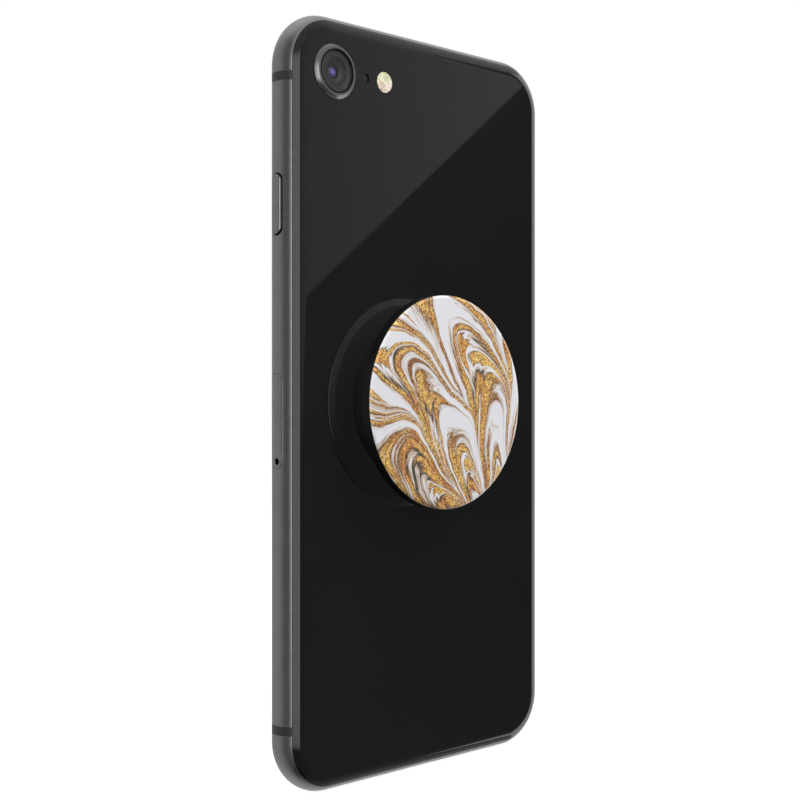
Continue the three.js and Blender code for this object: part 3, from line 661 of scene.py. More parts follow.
# Marbling: a ramp of the bands' colours, and where among them the glitter is.
WHITE, WARM_WHITE, BEIGE = (0.82, 0.81, 0.85), (0.78, 0.74, 0.71), (0.56, 0.42, 0.31)
TAN, BROWN, AMBER = (0.36, 0.21, 0.11), (0.070, 0.026, 0.008), (0.42, 0.170, 0.026)
GOLD, GREEN = (0.80, 0.485, 0.100), (0.008, 0.040, 0.026)
BAND_COLOURS = [
    (0.00, WHITE), (0.425, WHITE), (0.432, BEIGE), (0.438, WHITE), (0.450, WARM_WHITE),
    (0.456, TAN), (0.461, BEIGE), (0.466, WARM_WHITE), (0.469, BEIGE), (0.474, BROWN), (0.480, AMBER),
    (0.498, AMBER), (0.508, GOLD), (0.552, GOLD), (0.560, AMBER), (0.572, AMBER), (0.577, BROWN),
    (0.581, GREEN), (0.588, GREEN), (0.593, TAN), (0.599, BEIGE), (0.605, WARM_WHITE), (0.609, TAN),
    (0.614, WARM_WHITE), (0.622, WHITE), (0.638, WHITE), (0.643, BROWN), (0.649, GOLD), (0.702, GOLD),
    (0.708, GREEN), (0.715, WHITE), (1.0, WHITE),
]
GLITTER_SHARE = [
    (0.0, 0.0), (0.473, 0.0), (0.479, 1.0), (0.574, 1.0), (0.580, 0.0), (0.642, 0.0), (0.648, 1.0),
    (0.704, 1.0), (0.709, 0.0), (1.0, 0.0),
]
WOBBLES = ((0.07, 0.0, 5.2, 9.0), (0.33, 1.0, 1.4, 0.9))      # scale, detail, seed and size
FAN = {"side": 12.0, "below": 34.0, "bend": -0.010, "columns": 2.6, "first": 20.30}
ARCH = {"lean": 0.22, "steepness": 2.3, "height": 5.0}
SHUFFLE_LENGTH = 31.0


def marbled_print(top):
    """Combed marbling: drawn-out bands of colour nested in plumes along curved tine lines."""
    finish = Finish("marbled_print", coat_weight=0.5, coat_roughness=0.12)
    x, _, z = finish.split()
    across = x * (-1 / MM) + float(top.x)
    up = z * (1 / MM) - float(top.z)

    def flat_noise(a, b, scale, detail, seed):
        place = finish.add("CombineXYZ", {0: a, 1: b, 2: seed})
        inputs = {"Vector": place, "Scale": scale, "Detail": detail}
        return finish.split(finish.add("TexNoise", inputs, "Color"))

    # Hand-drawn wobble, wide and narrow.
    wobbles = [(flat_noise(across, up, *noise), size) for *noise, size in WOBBLES]
    for (sideways, upwards, _), size in wobbles:
        across += (sideways - 0.5) * size
        up += (upwards - 0.5) * size

    # Tine lines fan out from a point below the disc and bend over to the upper left.
    side = across - FAN["side"]
    rise = up + FAN["below"]
    reach = finish.math("SQRT", side * side + rise * rise)
    turn = finish.math("ARCTAN2", side * -1.0, rise)
    column = (reach * FAN["bend"] + turn) * FAN["columns"] + FAN["first"]
    number = finish.math("FLOOR", column)
    cell = (column - number) * 2.0 - 1.0

    # Between two tines the bands hang as steep arches.
    lean = cell * cell * -ARCH["lean"] + (cell + ARCH["lean"])
    droop = finish.math("COSH", lean * ARCH["steepness"]) - 1.0
    shuffle = finish.add("TexWhiteNoise", {"W": number}, noise_dimensions="1D")
    level = droop * ARCH["height"] + reach + shuffle * SHUFFLE_LENGTH

    # Bands of uneven width, and hair lines that run along them.
    drift = cell * 0.35 + number * 7.3
    bands = flat_noise(level * 0.105, drift, 1.0, 1.0, 8.1)[0]
    hairs = flat_noise(level * 0.9, drift, 1.0, 1.0, 2.6)[1]
    mixed = (hairs - 0.5) * 0.16 + bands
    plain = finish.ramp(mixed, BAND_COLOURS)
    glitter = finish.ramp(mixed, GLITTER_SHARE)

    # Glitter flakes in the gold, with painted light: some flakes darkened as painted shade, others brightened
    # as painted glints.
    _, sparkle = finish.cells(per_mm(4.2))
    painted_flake_shade = glitter * finish.range(sparkle, 0.22, 0.42, 1.0, 0.0)
    painted_flake_glint = glitter * finish.range(sparkle, 0.58, 0.80, 0.0, 1.0)
    coloured = finish.mix(painted_flake_shade, plain, finish.mix(1.0, plain, (0.42, 0.27, 0.16), "MULTIPLY"))
    coloured = finish.mix(painted_flake_glint, coloured, finish.mix(1.0, plain, (0.30, 0.32, 0.20), "ADD"))
    deep = glitter * finish.range(finish.noise(per_mm(0.22), 2.0), 0.45, 0.62, 0.0, 0.65)
    coloured = finish.mix(deep, coloured, finish.mix(1.0, coloured, (0.80, 0.47, 0.24), "MULTIPLY"))
    tint = finish.noise(per_mm(1.3))
    coloured = finish.mix(finish.range(tint, 0.35, 0.7, 0.0, 0.10), coloured, (0.62, 0.60, 0.66))
    finish.set(base_color=coloured, metallic=glitter * 0.25)
    finish.vary_roughness(tint, 0.3, 0.42)
    return finish.bump(sparkle * glitter, 0.01)


def contact_card(card):
    """Card plastic with a plain grid of gilded contacts."""
    finish = Finish("card_plastic")
    x, _, z = finish.split()
    grain = finish.noise(per_mm(6))

    def stripe(value, at, half):
        away = finish.math("ABSOLUTE", value - at * MM)
        return finish.range(away, (half - 0.04) * MM, half * MM, 1, 0)

    contacts = None
    for row in (-2.5, 0, 2.5):
        for side in (-2.4, 2.4):
            pad = stripe(x, card.x + side, 2.1) * stripe(z, card.z + row, 1.05)
            contacts = pad if contacts is None else finish.math("ADD", contacts, pad, clamp=True)
    plastic = finish.cloud(grain, (0.72, 0.72, 0.70), (0.8, 0.8, 0.78))
    finish.set(base_color=finish.mix(contacts, plastic, (0.80, 0.58, 0.25)), metallic=contacts)
    finish.vary_roughness(grain, 0.35, 0.5)
    return finish.bump(contacts, 0.03)


def circuit_board():
    finish = speckled("circuit_board", ((0.008, 0.04, 0.028), (0.015, 0.065, 0.045)), (0.4, 0.6), 3, 0.01)
    return finish.bump(finish.add("TexBrick", {"Vector": finish.place, "Scale": per_mm(0.6)}, "Fac"), 0.03)


def wound_copper():
    finish = Finish("wound_copper", metallic=1.0)
    turns = finish.wave(per_mm(0.8), wave_type="RINGS", rings_direction="Y")
    finish.set(base_color=finish.ramp(turns, [(0.0, (0.35, 0.13, 0.06)), (1.0, (0.72, 0.34, 0.18))]))
    finish.set(roughness=finish.range(turns, 0, 1, 0.5, 0.3))
    return finish.bump(turns, 0.05)


# ------------------------------ pieces: frame, glass and strips


def frame_profile():
    """Section of the side band: its outer arc, a lip at each seam, the pockets and the inner wall."""
    wall = EDGE * math.cos(SEAM_ANGLE)
    middle = wall + FRAME_LIP
    height = math.sqrt((EDGE - FRAME_LIP) ** 2 - middle ** 2)
    start = math.atan2(height, middle)
    ledge = EDGE - LEDGE_DEPTH
    outer = arc((0, 0), EDGE, 0, start, 18)
    lip = arc((middle, height), FRAME_LIP, start, math.pi, 8)
    half = np.concatenate([outer, lip[1:], [(wall, ledge), (EDGE - WALL_THICKNESS, ledge)]])
    whole = np.concatenate([half[::-1] * (1, -1), half[1:]])
    return [(offset, MIDDLE + depth) for offset, depth in whole]


def key_outline(key, gap=0.0):
    half_length = key.half[2] - FLANGE_OVERHANG
    return grown(pill, KEY_HALF_WIDTH + gap, half_length + gap)


def frame_cutters():
    cutters = []
    reach = SPINE_X - 2
    for node, side, _ in KEYS:
        key = Box(node)
        cutters.append(slot_cutter(side, key_outline(key, KEY_SLOT_GAP), reach, key.z))

    mute = grown(rounded_outline, *MUTE_SLOT, steps=8)
    cutters.append(slot_cutter("left", mute, reach, Box("mute_slider").z))

    tray = Box("sim_tray")
    door = grown(pill, TRAY_HALF_WIDTH + TRAY_GAP, tray.half[2] + TRAY_GAP)
    cutters.append(slot_cutter("right", door, reach, tray.z, lip=0.02))

    port = grown(pill, PORT["half_height"], PORT["half_width"])
    deep = SPINE_Z - EDGE_HOLE_DEPTH
    cutters.append(slot_cutter("bottom", port, deep, lip=PORT["lip"]))
    rounds = [(SCREW_X, SCREW_HOLE, HALF_HEIGHT - SCREW_HOLE["depth"])]
    for i in range(SOUND_HOLES["count"]):
        rounds.append((SOUND_HOLES["first"] + i * SOUND_HOLES["pitch"], SOUND_HOLES, deep))
    for side in (-1, 1):
        for x, hole, inner in rounds:
            outline = grown(circle, hole["radius"], steps=32)
            cutters.append(slot_cutter("bottom", outline, inner, side * x, lip=hole["lip"]))

    for strip in map(Box, STRIPS):
        inner = math.copysign(HALF_WIDTH - STRIP_DEPTH - STRIP_CLEARANCE, strip.x)
        outer = math.copysign(HALF_WIDTH + 2, strip.x)
        low = (min(inner, outer), -1, strip.z - STRIP_HALF_WIDTH)
        high = (max(inner, outer), THICKNESS + 1, strip.z + STRIP_HALF_WIDTH)
        cutters.append(box_part(low, high))
    return cutters


def make_frame(metal):
    mesh = to_mesh("side_band", *loft(spine_sweep(frame_profile()), wrap=True))
    mesh = carve(mesh, *frame_cutters())
    new_piece("side_band", mesh, metal, slot="frame_metal", stands_for=["side_frame"], on_skin=True)


def make_strips(plastic):
    """Plastic inserts in the four grooves, flush with the band."""
    half_angle = math.acos((EDGE - STRIP_DEPTH) / EDGE)
    section = arc((0, 0), EDGE, -half_angle, half_angle, 36)
    half_width = STRIP_HALF_WIDTH - SEAM_GAP
    for node in STRIPS:
        strip = Box(node)
        side = math.copysign(1, strip.x)
        rings = [np.array([(side * (SPINE_X + a), MIDDLE + b, z) for a, b in section])
                 for z in (strip.z - half_width, strip.z + half_width)]
        new_piece(node.replace("strip", "band"), loft(rings), plastic, slot="strip_plastic",
                  stands_for=[node], on_skin=True)


def glass_panel(name, side, holes, finish, slot, node):
    """A glass panel from its inner edge over its curved rim to its flat face."""
    wall = EDGE * math.cos(SEAM_ANGLE) - SEAM_GAP
    middle = wall - GLASS_LIP
    height = math.sqrt((EDGE - GLASS_LIP) ** 2 - middle ** 2)
    start = math.atan2(height, middle)
    lip = arc((middle, height), GLASS_LIP, 0, start, 5)
    rim = arc((0, 0), EDGE, start, math.pi / 2, 20)
    profile = np.concatenate([[(wall, EDGE - GLASS_THICKNESS)], lip, rim[1:]])
    rings = spine_sweep([(offset, MIDDLE + side * depth) for offset, depth in profile])
    mesh = carve(to_mesh(name, *loft(rings)), *holes)
    new_piece(name, mesh, finish, slot=slot, stands_for=[node], on_skin=True)


def make_glass(back, front):
    glass_panel("back_panel", 1, [
        round_hole("camera_ring", 0.09, 1, lip=0.03),
        round_hole("flash_lens", 0.03, 1),
        round_hole("rear_microphone", 0.02, 1, radius=MIC_RADIUS),
    ], back, "back_glass", "rear_glass")
    mesh = Box("earpiece_mesh")
    slot = lambda grow: pill(0.7 + grow, 5.7 + grow)[:, ::-1]
    lens = grown(circle, FRONT_LENS_RADIUS, steps=48)
    glass_panel("front_panel", -1, [
        round_hole("home_button_ring", 0.03, -1, lip=0.08),
        face_cutter(slot, mesh.x, mesh.z, -1, lip=0.12),
        face_cutter(lens, Box("front_camera").x, mesh.z, -1, lip=0.02),
    ], front, "front_glass", "display_glass")


# ------------------------------ pieces: keys, mute switch and tray


def make_keys(metal):
    base = HALF_WIDTH - WALL_THICKNESS
    for node, side, body in KEYS:
        key = Box(node)
        cap = raised(side, key_outline(key), base, key.z, KEY_PROUD, KEY_ROUNDING, KEY_HALF_WIDTH - 0.02)
        low, high = key.low.copy(), key.high.copy()
        if side == "left":
            low[0] = high[0] - FLANGE_THICKNESS
        else:
            high[0] = low[0] + FLANGE_THICKNESS
        new_piece(node.replace("button", "key"), merged([cap, box_part(low, high)]), metal, body, "frame_metal",
                  [node], sharp_degrees=50)


def make_mute(metal):
    slider = Box("mute_slider")
    base = HALF_WIDTH - WALL_THICKNESS
    outline = grown(rounded_outline, *MUTE_TAB, steps=8)
    tab = raised("left", outline, base, slider.z, MUTE_PROUD, MUTE_ROUNDING, MUTE_TAB[0] - 0.1,
                 depth=-MUTE_SHIFT)
    tongue = box_part((-base - 0.6, MIDDLE - MUTE_TONGUE_HALF_WIDTH, slider.low[2]),
                      (-base - 0.02, MIDDLE + MUTE_TONGUE_HALF_WIDTH, slider.high[2]))
    new_piece("mute_tab", merged([tab, tongue]), metal, "mute_tab", "frame_metal", ["mute_slider"],
              sharp_degrees=50)


def make_tray(metal):
    """Door with its ejector hole, and the sled behind it with a recess and window for the card."""
    tray, card = Box("sim_tray"), Box("sim_card")
    door_back = HALF_WIDTH - TRAY_DOOR_THICKNESS
    outline = grown(pill, TRAY_HALF_WIDTH, tray.half[2])
    door = raised("right", outline, door_back, tray.z, 0.0, 0.05, 1.38, steps=3)
    hole = slot_cutter("right", grown(circle, EJECT_HOLE["radius"], steps=32), door_back - 1,
                       tray.z - EJECT_HOLE["below_centre"], lip=EJECT_HOLE["lip"])
    new_piece("tray_door", carve(to_mesh("card_tray", *door), hole), metal, "card_tray", "frame_metal",
              ["sim_tray"], sharp_degrees=40)

    half_length = (door_back - tray.low[0]) / 2 + 0.1
    x = (door_back + tray.low[0]) / 2
    low, high, rounding = SLED["low"], SLED["high"], SLED["rounding"]
    rings = []
    for y, shrink in ((low, rounding), (low + rounding, 0), (high - rounding, 0), (high, rounding)):
        flat = rounded_outline(half_length - shrink, SLED["half_width"] - shrink, SLED["radius"] - shrink, 8)
        rings.append(ring_at(flat, y, x, SLED["middle"]))
    sled = to_mesh("tray_sled", *loft(rings))
    for half_x, half_z, from_y, to_y in (CARD_RECESS, CARD_WINDOW):
        flat = rounded_outline(half_x, half_z, 0.4, 5)
        sled = carve(sled, loft([ring_at(flat, y, card.x, card.z) for y in (from_y, to_y)]))
    new_piece("tray_sled", sled, metal, "card_tray", "frame_metal", sharp_degrees=40)


# ------------------------------ pieces: rear camera, microphone and flash


def make_camera(trim, glass, baffle, coating_and_glint, plate, seal_rubber):
    at, window = Box("camera_ring"), Box("camera_window")
    outer, top = at.radius, at.high[1]
    bore = window.radius + 0.06
    # The slope is slightly crowned, and a narrow flat rim runs round the window.
    turned_piece("camera_trim", [
        (bore, BACK - 1.1), (outer, BACK - 1.1, 0.05), (outer, BACK + 0.02, 0.04),
        (outer - 0.28, BACK + 0.285, 1.2), (outer - 0.6, top, 0.05), (bore, top, 0.03), (bore, BACK - 1.1),
    ], at, trim, steps=128, slot="dark_steel", stands_for=["camera_ring"], sharp_degrees=40)

    # A black seal between the rim and the pane, and the pane with blackened walls.
    glass_top = window.high[1]
    pane_radius = bore - 0.32
    seal_top = glass_top - 0.14
    turned_piece("camera_seal", [
        (pane_radius, BACK - 1.0), (bore - 0.005, BACK - 1.0), (bore - 0.005, seal_top, 0.03),
        (pane_radius, seal_top, 0.03), (pane_radius, BACK - 1.0),
    ], at, seal_rubber, 3, slot="black_plastic")
    pane_radius -= 0.01
    pane = turned_piece("camera_pane", [
        (0, glass_top - 0.5), (pane_radius, glass_top - 0.5, 0.03), (pane_radius, glass_top, 0.05),
        (0, glass_top),
    ], at, glass, 4, slot="sapphire", stands_for=["camera_window"])
    pane.data.materials.append(plate.material)
    for face in pane.data.polygons:
        if abs(face.normal.y) < 0.6:
            face.material_index = 1

    # Printed ring behind the pane, then the moving barrel with its shallow cone and small front lens.
    back = glass_top - 0.52
    wide = pane_radius - 0.02
    rim = back - 0.3
    turned_piece("camera_ring_plate", [
        (2.62, rim), (wide, rim, 0.02), (wide, back, 0.02), (2.7, back, 0.05), (2.62, back - 0.08, 0.03),
        (2.62, rim),
    ], at, plate, 2, slot="black_plastic")
    foot = 3.4
    turned_piece("lens_baffle", [
        (2.58, foot), (2.58, rim, 0.06), (2.2, rim, 0.04), (2.15, rim - 0.12, 0.03), (1.85, rim - 0.16, 0.05),
        (1.15, rim - 0.36, 0.03), (1.15, rim - 0.75, 0.03), (1.0, rim - 0.75), (1.0, foot), (2.58, foot),
    ], at, baffle, 3, body="focus_barrel", slot="black_plastic", stands_for=["lens_barrel"], sharp_degrees=25)
    lens_radius, curve = 1.13, 2.6
    dome = [(0, rim - 0.74), (lens_radius, rim - 0.74)]
    for radius in np.linspace(lens_radius, 0, 14):
        dome.append((radius, rim - 0.42 - curve + math.sqrt(curve ** 2 - radius ** 2)))
    turned_piece("front_lens", dome, at, coating_and_glint, steps=64, body="focus_barrel", slot="sapphire")


def make_flash(emitters, bezel):
    """A ribbed clear cover in a thin black ring."""
    flash = Box("flash_lens")
    outer, radius = flash.radius, flash.radius - 0.12
    profile = [(0, BACK - 0.95), (radius, BACK - 0.95), (radius, BACK - 0.06)]
    for step in range(6):
        crest = radius - 0.06 - step * 0.26
        profile += [(crest, BACK - 0.02), (crest - 0.2, BACK - 0.10)]
    profile += [(0.1, BACK - 0.03), (0, BACK - 0.03)]
    turned_piece("flash_cover", profile, flash, emitters, steps=64, slot="flash_plastic",
                 stands_for=["flash_lens"], sharp_degrees=20)
    radius += 0.01
    turned_piece("flash_bezel", [
        (radius, BACK - 0.9), (outer, BACK - 0.9), (outer, BACK - 0.02, 0.03), (radius, BACK - 0.02, 0.03),
        (radius, BACK - 0.9),
    ], flash, bezel, 3, steps=64, slot="black_plastic")


def woven(x_half, z_half, at, y, inside):
    """A woven screen: round wires along X and Z that pass over and under each other."""
    wire = circle(WIRE_THICKNESS / 2, 6)
    parts = []
    for axis, length, reach in ((0, x_half, z_half), (1, z_half, x_half)):
        rows = int(reach / WEAVE_PITCH)
        count = max(int(2 * length / (WEAVE_PITCH / 2)), 2)
        for row in range(-rows, rows + 1):
            across = row * WEAVE_PITCH
            rings = []
            for i in range(count + 1):
                along = -length + 2 * length * i / count
                if not inside(*((along, across) if axis == 0 else (across, along))):
                    continue
                lift = WIRE_THICKNESS / 2 * math.cos(math.pi * (along / WEAVE_PITCH + row + axis))
                run, side = np.full(len(wire), along), across + wire[:, 0]
                a, b = (run, side) if axis == 0 else (side, run)
                rings.append(np.stack([at.x + a, y + lift + wire[:, 1], at.z + b], 1))
            if len(rings) > 1:
                parts.append(loft(rings))
    return merged(parts)


def make_screens(steel, backing):
    mic = Box("rear_microphone")
    radius = MIC_RADIUS
    screen = woven(radius, radius, mic, BACK - 0.38, lambda a, b: a * a + b * b < (radius - 0.03) ** 2)
    new_piece("microphone_screen", screen, steel, slot="dark_steel")
    cup = [(0, BACK - 0.9), (radius, BACK - 0.9), (radius, BACK - 0.5), (0, BACK - 0.5)]
    turned_piece("microphone_backing", cup, mic, backing, steps=48, slot="black_plastic",
                 stands_for=["rear_microphone"])

    ear = Box("earpiece_mesh")
    half_a, _, half_b = ear.half

    def in_slot(a, b):
        beyond = max(abs(a) - (half_a - half_b), 0)
        return beyond ** 2 + b ** 2 < (half_b - 0.02) ** 2

    screen = woven(half_a, half_b, ear, 0.3, in_slot)
    new_piece("earpiece_screen", screen, steel, slot="dark_steel", stands_for=["earpiece_mesh"])
    rings = [ring_at(pill(half_b - shrink, half_a - shrink)[:, ::-1], y, ear.x, ear.z)
             for y, shrink in ((0.5, 0.05), (0.55, 0), (0.8, 0))]
    new_piece("earpiece_backing", loft(rings), backing, slot="black_plastic")


# ------------------------------ pieces: front and bottom


def make_home(trim, cover):
    home = Box("home_button_ring")
    outer, back = home.radius, home.high[1]
    inner = outer - 0.55
    turned_piece("home_trim", [
        (inner, back), (outer, back), (outer, 0.03, 0.08), (outer - 0.28, 0.0, 0.1), (inner, 0.2, 0.04),
        (inner, back),
    ], home, trim, 4, slot="dark_steel", stands_for=["home_button_ring"])
    radius = outer - 0.6
    dish = [(0, back), (radius, back), (radius, 0.22)]
    for share in np.linspace(1, 0, 16):
        dish.append(((radius - 0.06) * share, 0.3 - 0.14 * share ** 2))
    turned_piece("home_cover", dish, home, cover, slot="front_glass", stands_for=["home_button"])


def make_front_camera(glass, baffle, coating_and_glint):
    camera = Box("front_camera")
    radius, bead_radius = FRONT_LENS_RADIUS - 0.03, 0.49
    pane = [(0, 0.3), (radius, 0.3), (radius, 0.03, 0.05), (0, 0.03)]
    turned_piece("front_camera_pane", pane, camera, glass, 3, 48, slot="sapphire")
    cone = [(radius, 0.35), (radius, 1.0), (0.5, 1.0), (0.5, 0.9), (0.8, 0.75), (1.1, 0.6),
            (radius - 0.1, 0.35), (radius, 0.35)]
    turned_piece("front_camera_cone", cone, camera, baffle, steps=48, slot="black_plastic", sharp_degrees=25)
    bead = [(0, 1.0), (bead_radius, 1.0)]
    bead += [(r, 0.88 - 0.12 * (1 - (r / bead_radius) ** 2)) for r in np.linspace(bead_radius, 0, 8)]
    turned_piece("front_camera_bead", bead, camera, coating_and_glint, steps=32, slot="sapphire")


def make_screws(steel):
    """Two small screws with five-lobed sockets, sunk in the bottom edge."""
    angles = np.linspace(0, 2 * math.pi, 60, endpoint=False)
    reach = SOCKET["radius"] + SOCKET["lobe"] * np.cos(5 * angles)
    star = np.stack([reach * np.cos(angles), reach * np.sin(angles)], 1)
    for name in ("bottom_screw_left", "bottom_screw_right"):
        screw = Box(name)
        head = screw.low[2]
        foot = head + SCREW["height"]
        profile = fillet([(0, foot), (SCREW["radius"], foot), (SCREW["radius"], head, SCREW["rounding"]),
                          (0, head - 0.02)], 4)
        upright = lambda outline, height: ring_at(outline, height, screw.x, MIDDLE)[:, [0, 2, 1]]
        mesh = to_mesh(name, *loft([upright(circle(max(radius, 1e-5), 40), z) for radius, z in profile]))
        mesh = carve(mesh, loft([upright(star, z) for z in (head - 1, head + SOCKET["depth"])]))
        new_piece(name.replace("bottom_screw", "edge_screw"), mesh, steel, slot="steel", stands_for=[name])


# ------------------------------ pieces: grip


def make_grip(foot_plastic, neck, cap_plastic, printed):
    base = Box("grip_base")
    outer, top = base.radius, base.high[1]
    turned_piece("grip_foot", [
        (0, BACK + 0.45), (outer - 0.6, BACK + 0.45, 0.1), (outer - 0.5, BACK + 0.02, 0.1),
        (outer - 0.05, BACK + 0.02, 0.03), (outer, BACK + 0.3, 0.16), (outer - 1.3, top - 0.3, 0.6),
        (outer - 3.5, top - 0.28, 0.5), (0, top - 0.28),
    ], base, foot_plastic, steps=128, slot="grip_plastic", stands_for=["grip_base"], mirrored=False,
        sharp_degrees=40)

    # Nested cones of the collapsing neck, thickest at their lips.
    wall, taper = 0.55, 0.12
    for i, body in enumerate(("root", "neck_ring_2", "neck_ring_3", "neck_ring_4", "grip_cap")):
        node = f"grip_ring_{i + 1}"
        ring = Box(node)
        foot, low, high = ring.radius, ring.low[1], ring.high[1]
        tip = foot - taper * (high - low)
        cone = fillet([
            (foot - wall, low + 0.02, 0.12), (foot, low + 0.02, 0.15), (foot - 0.03, low + 0.6, 0.3),
            (tip + 0.02, high - 0.5, 0.3), (tip, high - 0.01, 0.15), (tip - wall, high - 0.01, 0.15),
            (tip - wall + 0.05, high - 0.5, 0.3), (foot - wall - 0.03, low + 0.6, 0.3),
            (foot - wall, low + 0.02, 0.12),
        ], 4)
        cone = np.concatenate([cone[1:-1], cone[1:2]])
        new_piece(node.replace("grip", "neck"), lathe(cone, base), neck, body, "grip_rubber", [node],
                  mirrored=False, sharp_degrees=60)

    cap = Box("grip_button")
    outer, under, rim_top = cap.radius, cap.low[1], cap.high[1]
    plate_low = rim_top - 0.6
    turned_piece("grip_cap_shell", [
        (0, plate_low), (outer - 2.4, plate_low, 0.3), (outer - 2.1, under + 0.5, 0.3),
        (outer - 1.5, under, 0.3), (outer - 0.02, under, 0.45),
        (outer, rim_top - 0.2, 0.12), (outer - 0.2, rim_top, 0.05), (0, rim_top),
    ], base, cap_plastic, steps=160, body="grip_cap", slot="grip_plastic", stands_for=["grip_button"],
        mirrored=False, sharp_degrees=50)

    disc = Box("grip_top")
    outer, low, high = disc.radius, disc.low[1], disc.high[1]
    turned_piece("grip_print", [
        (0, low), (outer - 0.08, low, 0.03), (outer, low + 0.1, 0.08), (outer - 0.45, high - 0.03, 0.6),
        (outer - 2.5, high, 3.0), (0, high),
    ], base, printed, 8, 160, body="grip_cap", slot="marbled_print", stands_for=["grip_top"], mirrored=False,
        sharp_degrees=60)


# ------------------------------ studio

ROOM_LEVEL = 0.17
ROOM_LOBES = [                     # azimuth, elevation, where the lobe starts and is full, and its level
    (265, 0, -0.3, 0.45, 0.3),
    (210, 60, 0.4, 0.95, 0.3),
    (215, -60, 0.45, 0.95, 0.2),
    (0, 90, 0.8, 0.95, 0.22),
    (128, -12, 0.75, 1.0, 0.035),
    (160, -5, 0.86, 0.96, -0.085),
    (59, -65, 0.93, 0.99, -0.17),
]
ARC_CARDS = [                      # name, azimuths, elevations, distance, strength and share at each corner
    # Beside the phone: mirrored in the near rim of the glass and the frame's rear edge.
    ("rim_card", (43, 90), (-15, 20), 1000, 2.2, (1, 1, 1, 1)),
    ("rim_card_low", (43, 90), (-25, -15), 1000, 2.2, (0.0, 0.0, 1.0, 1.0)),
    ("rim_card_high", (43, 90), (20, 31), 1000, 2.2, (1.0, 1.0, 0.3, 0.3)),
    ("far_rim_card", (149, 200), (-40, 33), 1000, 1.55, (1.0, 0.7, 0.7, 1.0)),
    ("top_card", (40, 142), (30, 68), 2100, 0.6, (1, 1, 1, 1)),
    ("ceiling_card", (140, 206), (30, 68), 2200, 0.72, (1, 1, 1, 1)),
]
WINDOW_Y = 1200
WINDOW_CARDS = [                   # name, X and Z of each corner, and level there
    # The lower edge of the big window crosses the back of the phone as a straight slanting line.
    ("window_card", ((-955, 119.6), (-1451, 514), (-1451, 1500), (-955, 1500)), (0.47, 0.68, 0.72, 0.48)),
    ("window_card_near", ((-120, -60), (-955, 119.6), (-955, 1500), (-120, 1500)), (0.42, 0.47, 0.48, 0.5)),
]
SOFT_LIGHTS = [                    # name, azimuth, elevation, distance and size in metres, and power
    ("key_light", 95, 42, 0.9, 0.7, 9.0),
    ("front_light", 300, 35, 1.0, 0.9, 8),
    ("side_light", 0, 20, 1.1, 0.8, 3),
]
CORNERS = ((0, 0), (1, 0), (1, 1), (0, 1))
FLOOR_HALF = 6.0                   # metres
CAMERA_LENS = 61.8
CAMERA_PLACE = (184.57, 190.3, 0.45)
CAMERA_AIM = (1.902, 1.807, 0.579)


def direction(azimuth, elevation):
    """A unit direction: azimuth 0 is +X and 90 is +Y, in degrees."""
    a, e = math.radians(azimuth), math.radians(elevation)
    return Vector((math.cos(a) * math.cos(e), math.sin(a) * math.cos(e), math.sin(e)))


def glow_material(name, strength):
    """A glow that follows the mesh attribute "level"."""
    material = bpy.data.materials.new(name)
    nodes = Nodes(material, empty=True)
    level = nodes.add("Attribute", output="Fac", attribute_name="level")
    glow = nodes.add("Emission", {"Color": (1, 1, 1), "Strength": level * strength})
    nodes.node("OutputMaterial", {0: glow})
    return material


def glow_sheet(name, corners, strength, shares, steps=24):
    """A glowing four-cornered card seen only in reflections, with its own level at each corner."""
    vertices, levels, faces = [], [], []
    for i in range(steps + 1):
        for j in range(steps + 1):
            u, v = i / steps, j / steps
            weights = ((1 - u) * (1 - v), u * (1 - v), u * v, (1 - u) * v)
            vertices.append(sum(w * np.array(p) for w, p in zip(weights, corners)) * MM)
            levels.append(sum(w * s for w, s in zip(weights, shares)))
            if i < steps and j < steps:
                a = i * (steps + 1) + j
                faces.append((a, a + 1, a + steps + 2, a + steps + 1))
    mesh = bpy.data.meshes.new(name)
    mesh.from_pydata([tuple(p) for p in vertices], [], faces)
    level = mesh.attributes.new("level", "FLOAT", "POINT")
    level.data.foreach_set("value", np.array(levels, np.float32))
    mesh.materials.append(glow_material(name, strength))
    card = linked(name, mesh)
    card.visible_camera = card.visible_diffuse = card.visible_shadow = False


def arc_card(name, azimuths, elevations, distance, strength, shares):
    """A card wrapped round the phone at a distance, between two azimuths and two elevations."""
    first, last = azimuths
    slices = 6
    for i in range(slices):
        corners, levels = [], []
        for turn, height in CORNERS:
            along = (i + turn) / slices
            ray = direction(first + (last - first) * along, elevations[height])
            corners.append(np.array(ray) * distance / math.cos(math.radians(elevations[height])))
            low, high = (shares[3], shares[2]) if height else (shares[0], shares[1])
            levels.append(low + (high - low) * along)
        glow_sheet(f"{name}_{i}", corners, strength, levels, 6)


def make_world():
    """Plain white behind the object, and a dim room in its reflections, lighter away from the camera."""
    world = bpy.data.worlds.new("studio")
    scene.world = world
    nodes = Nodes(world, empty=True)
    place = nodes.add("TexCoord", output="Generated")
    level = None
    for azimuth, elevation, low, high, amount in ROOM_LOBES:
        inputs = {0: place, 1: direction(azimuth, elevation)}
        dot = nodes.add("VectorMath", inputs, "Value", operation="DOT_PRODUCT")
        lobe = nodes.range(dot, low, high, 0, amount, smooth=True)
        level = level + lobe if level else lobe
    white = nodes.add("Background", {"Color": (1, 1, 1), "Strength": 1.02})
    room = nodes.add("Background", {"Color": (1, 1, 1), "Strength": level + ROOM_LEVEL})
    seen = nodes.add("LightPath", output="Is Camera Ray")
    nodes.node("OutputWorld", {0: nodes.add("MixShader", {0: seen, 1: room, 2: white})})


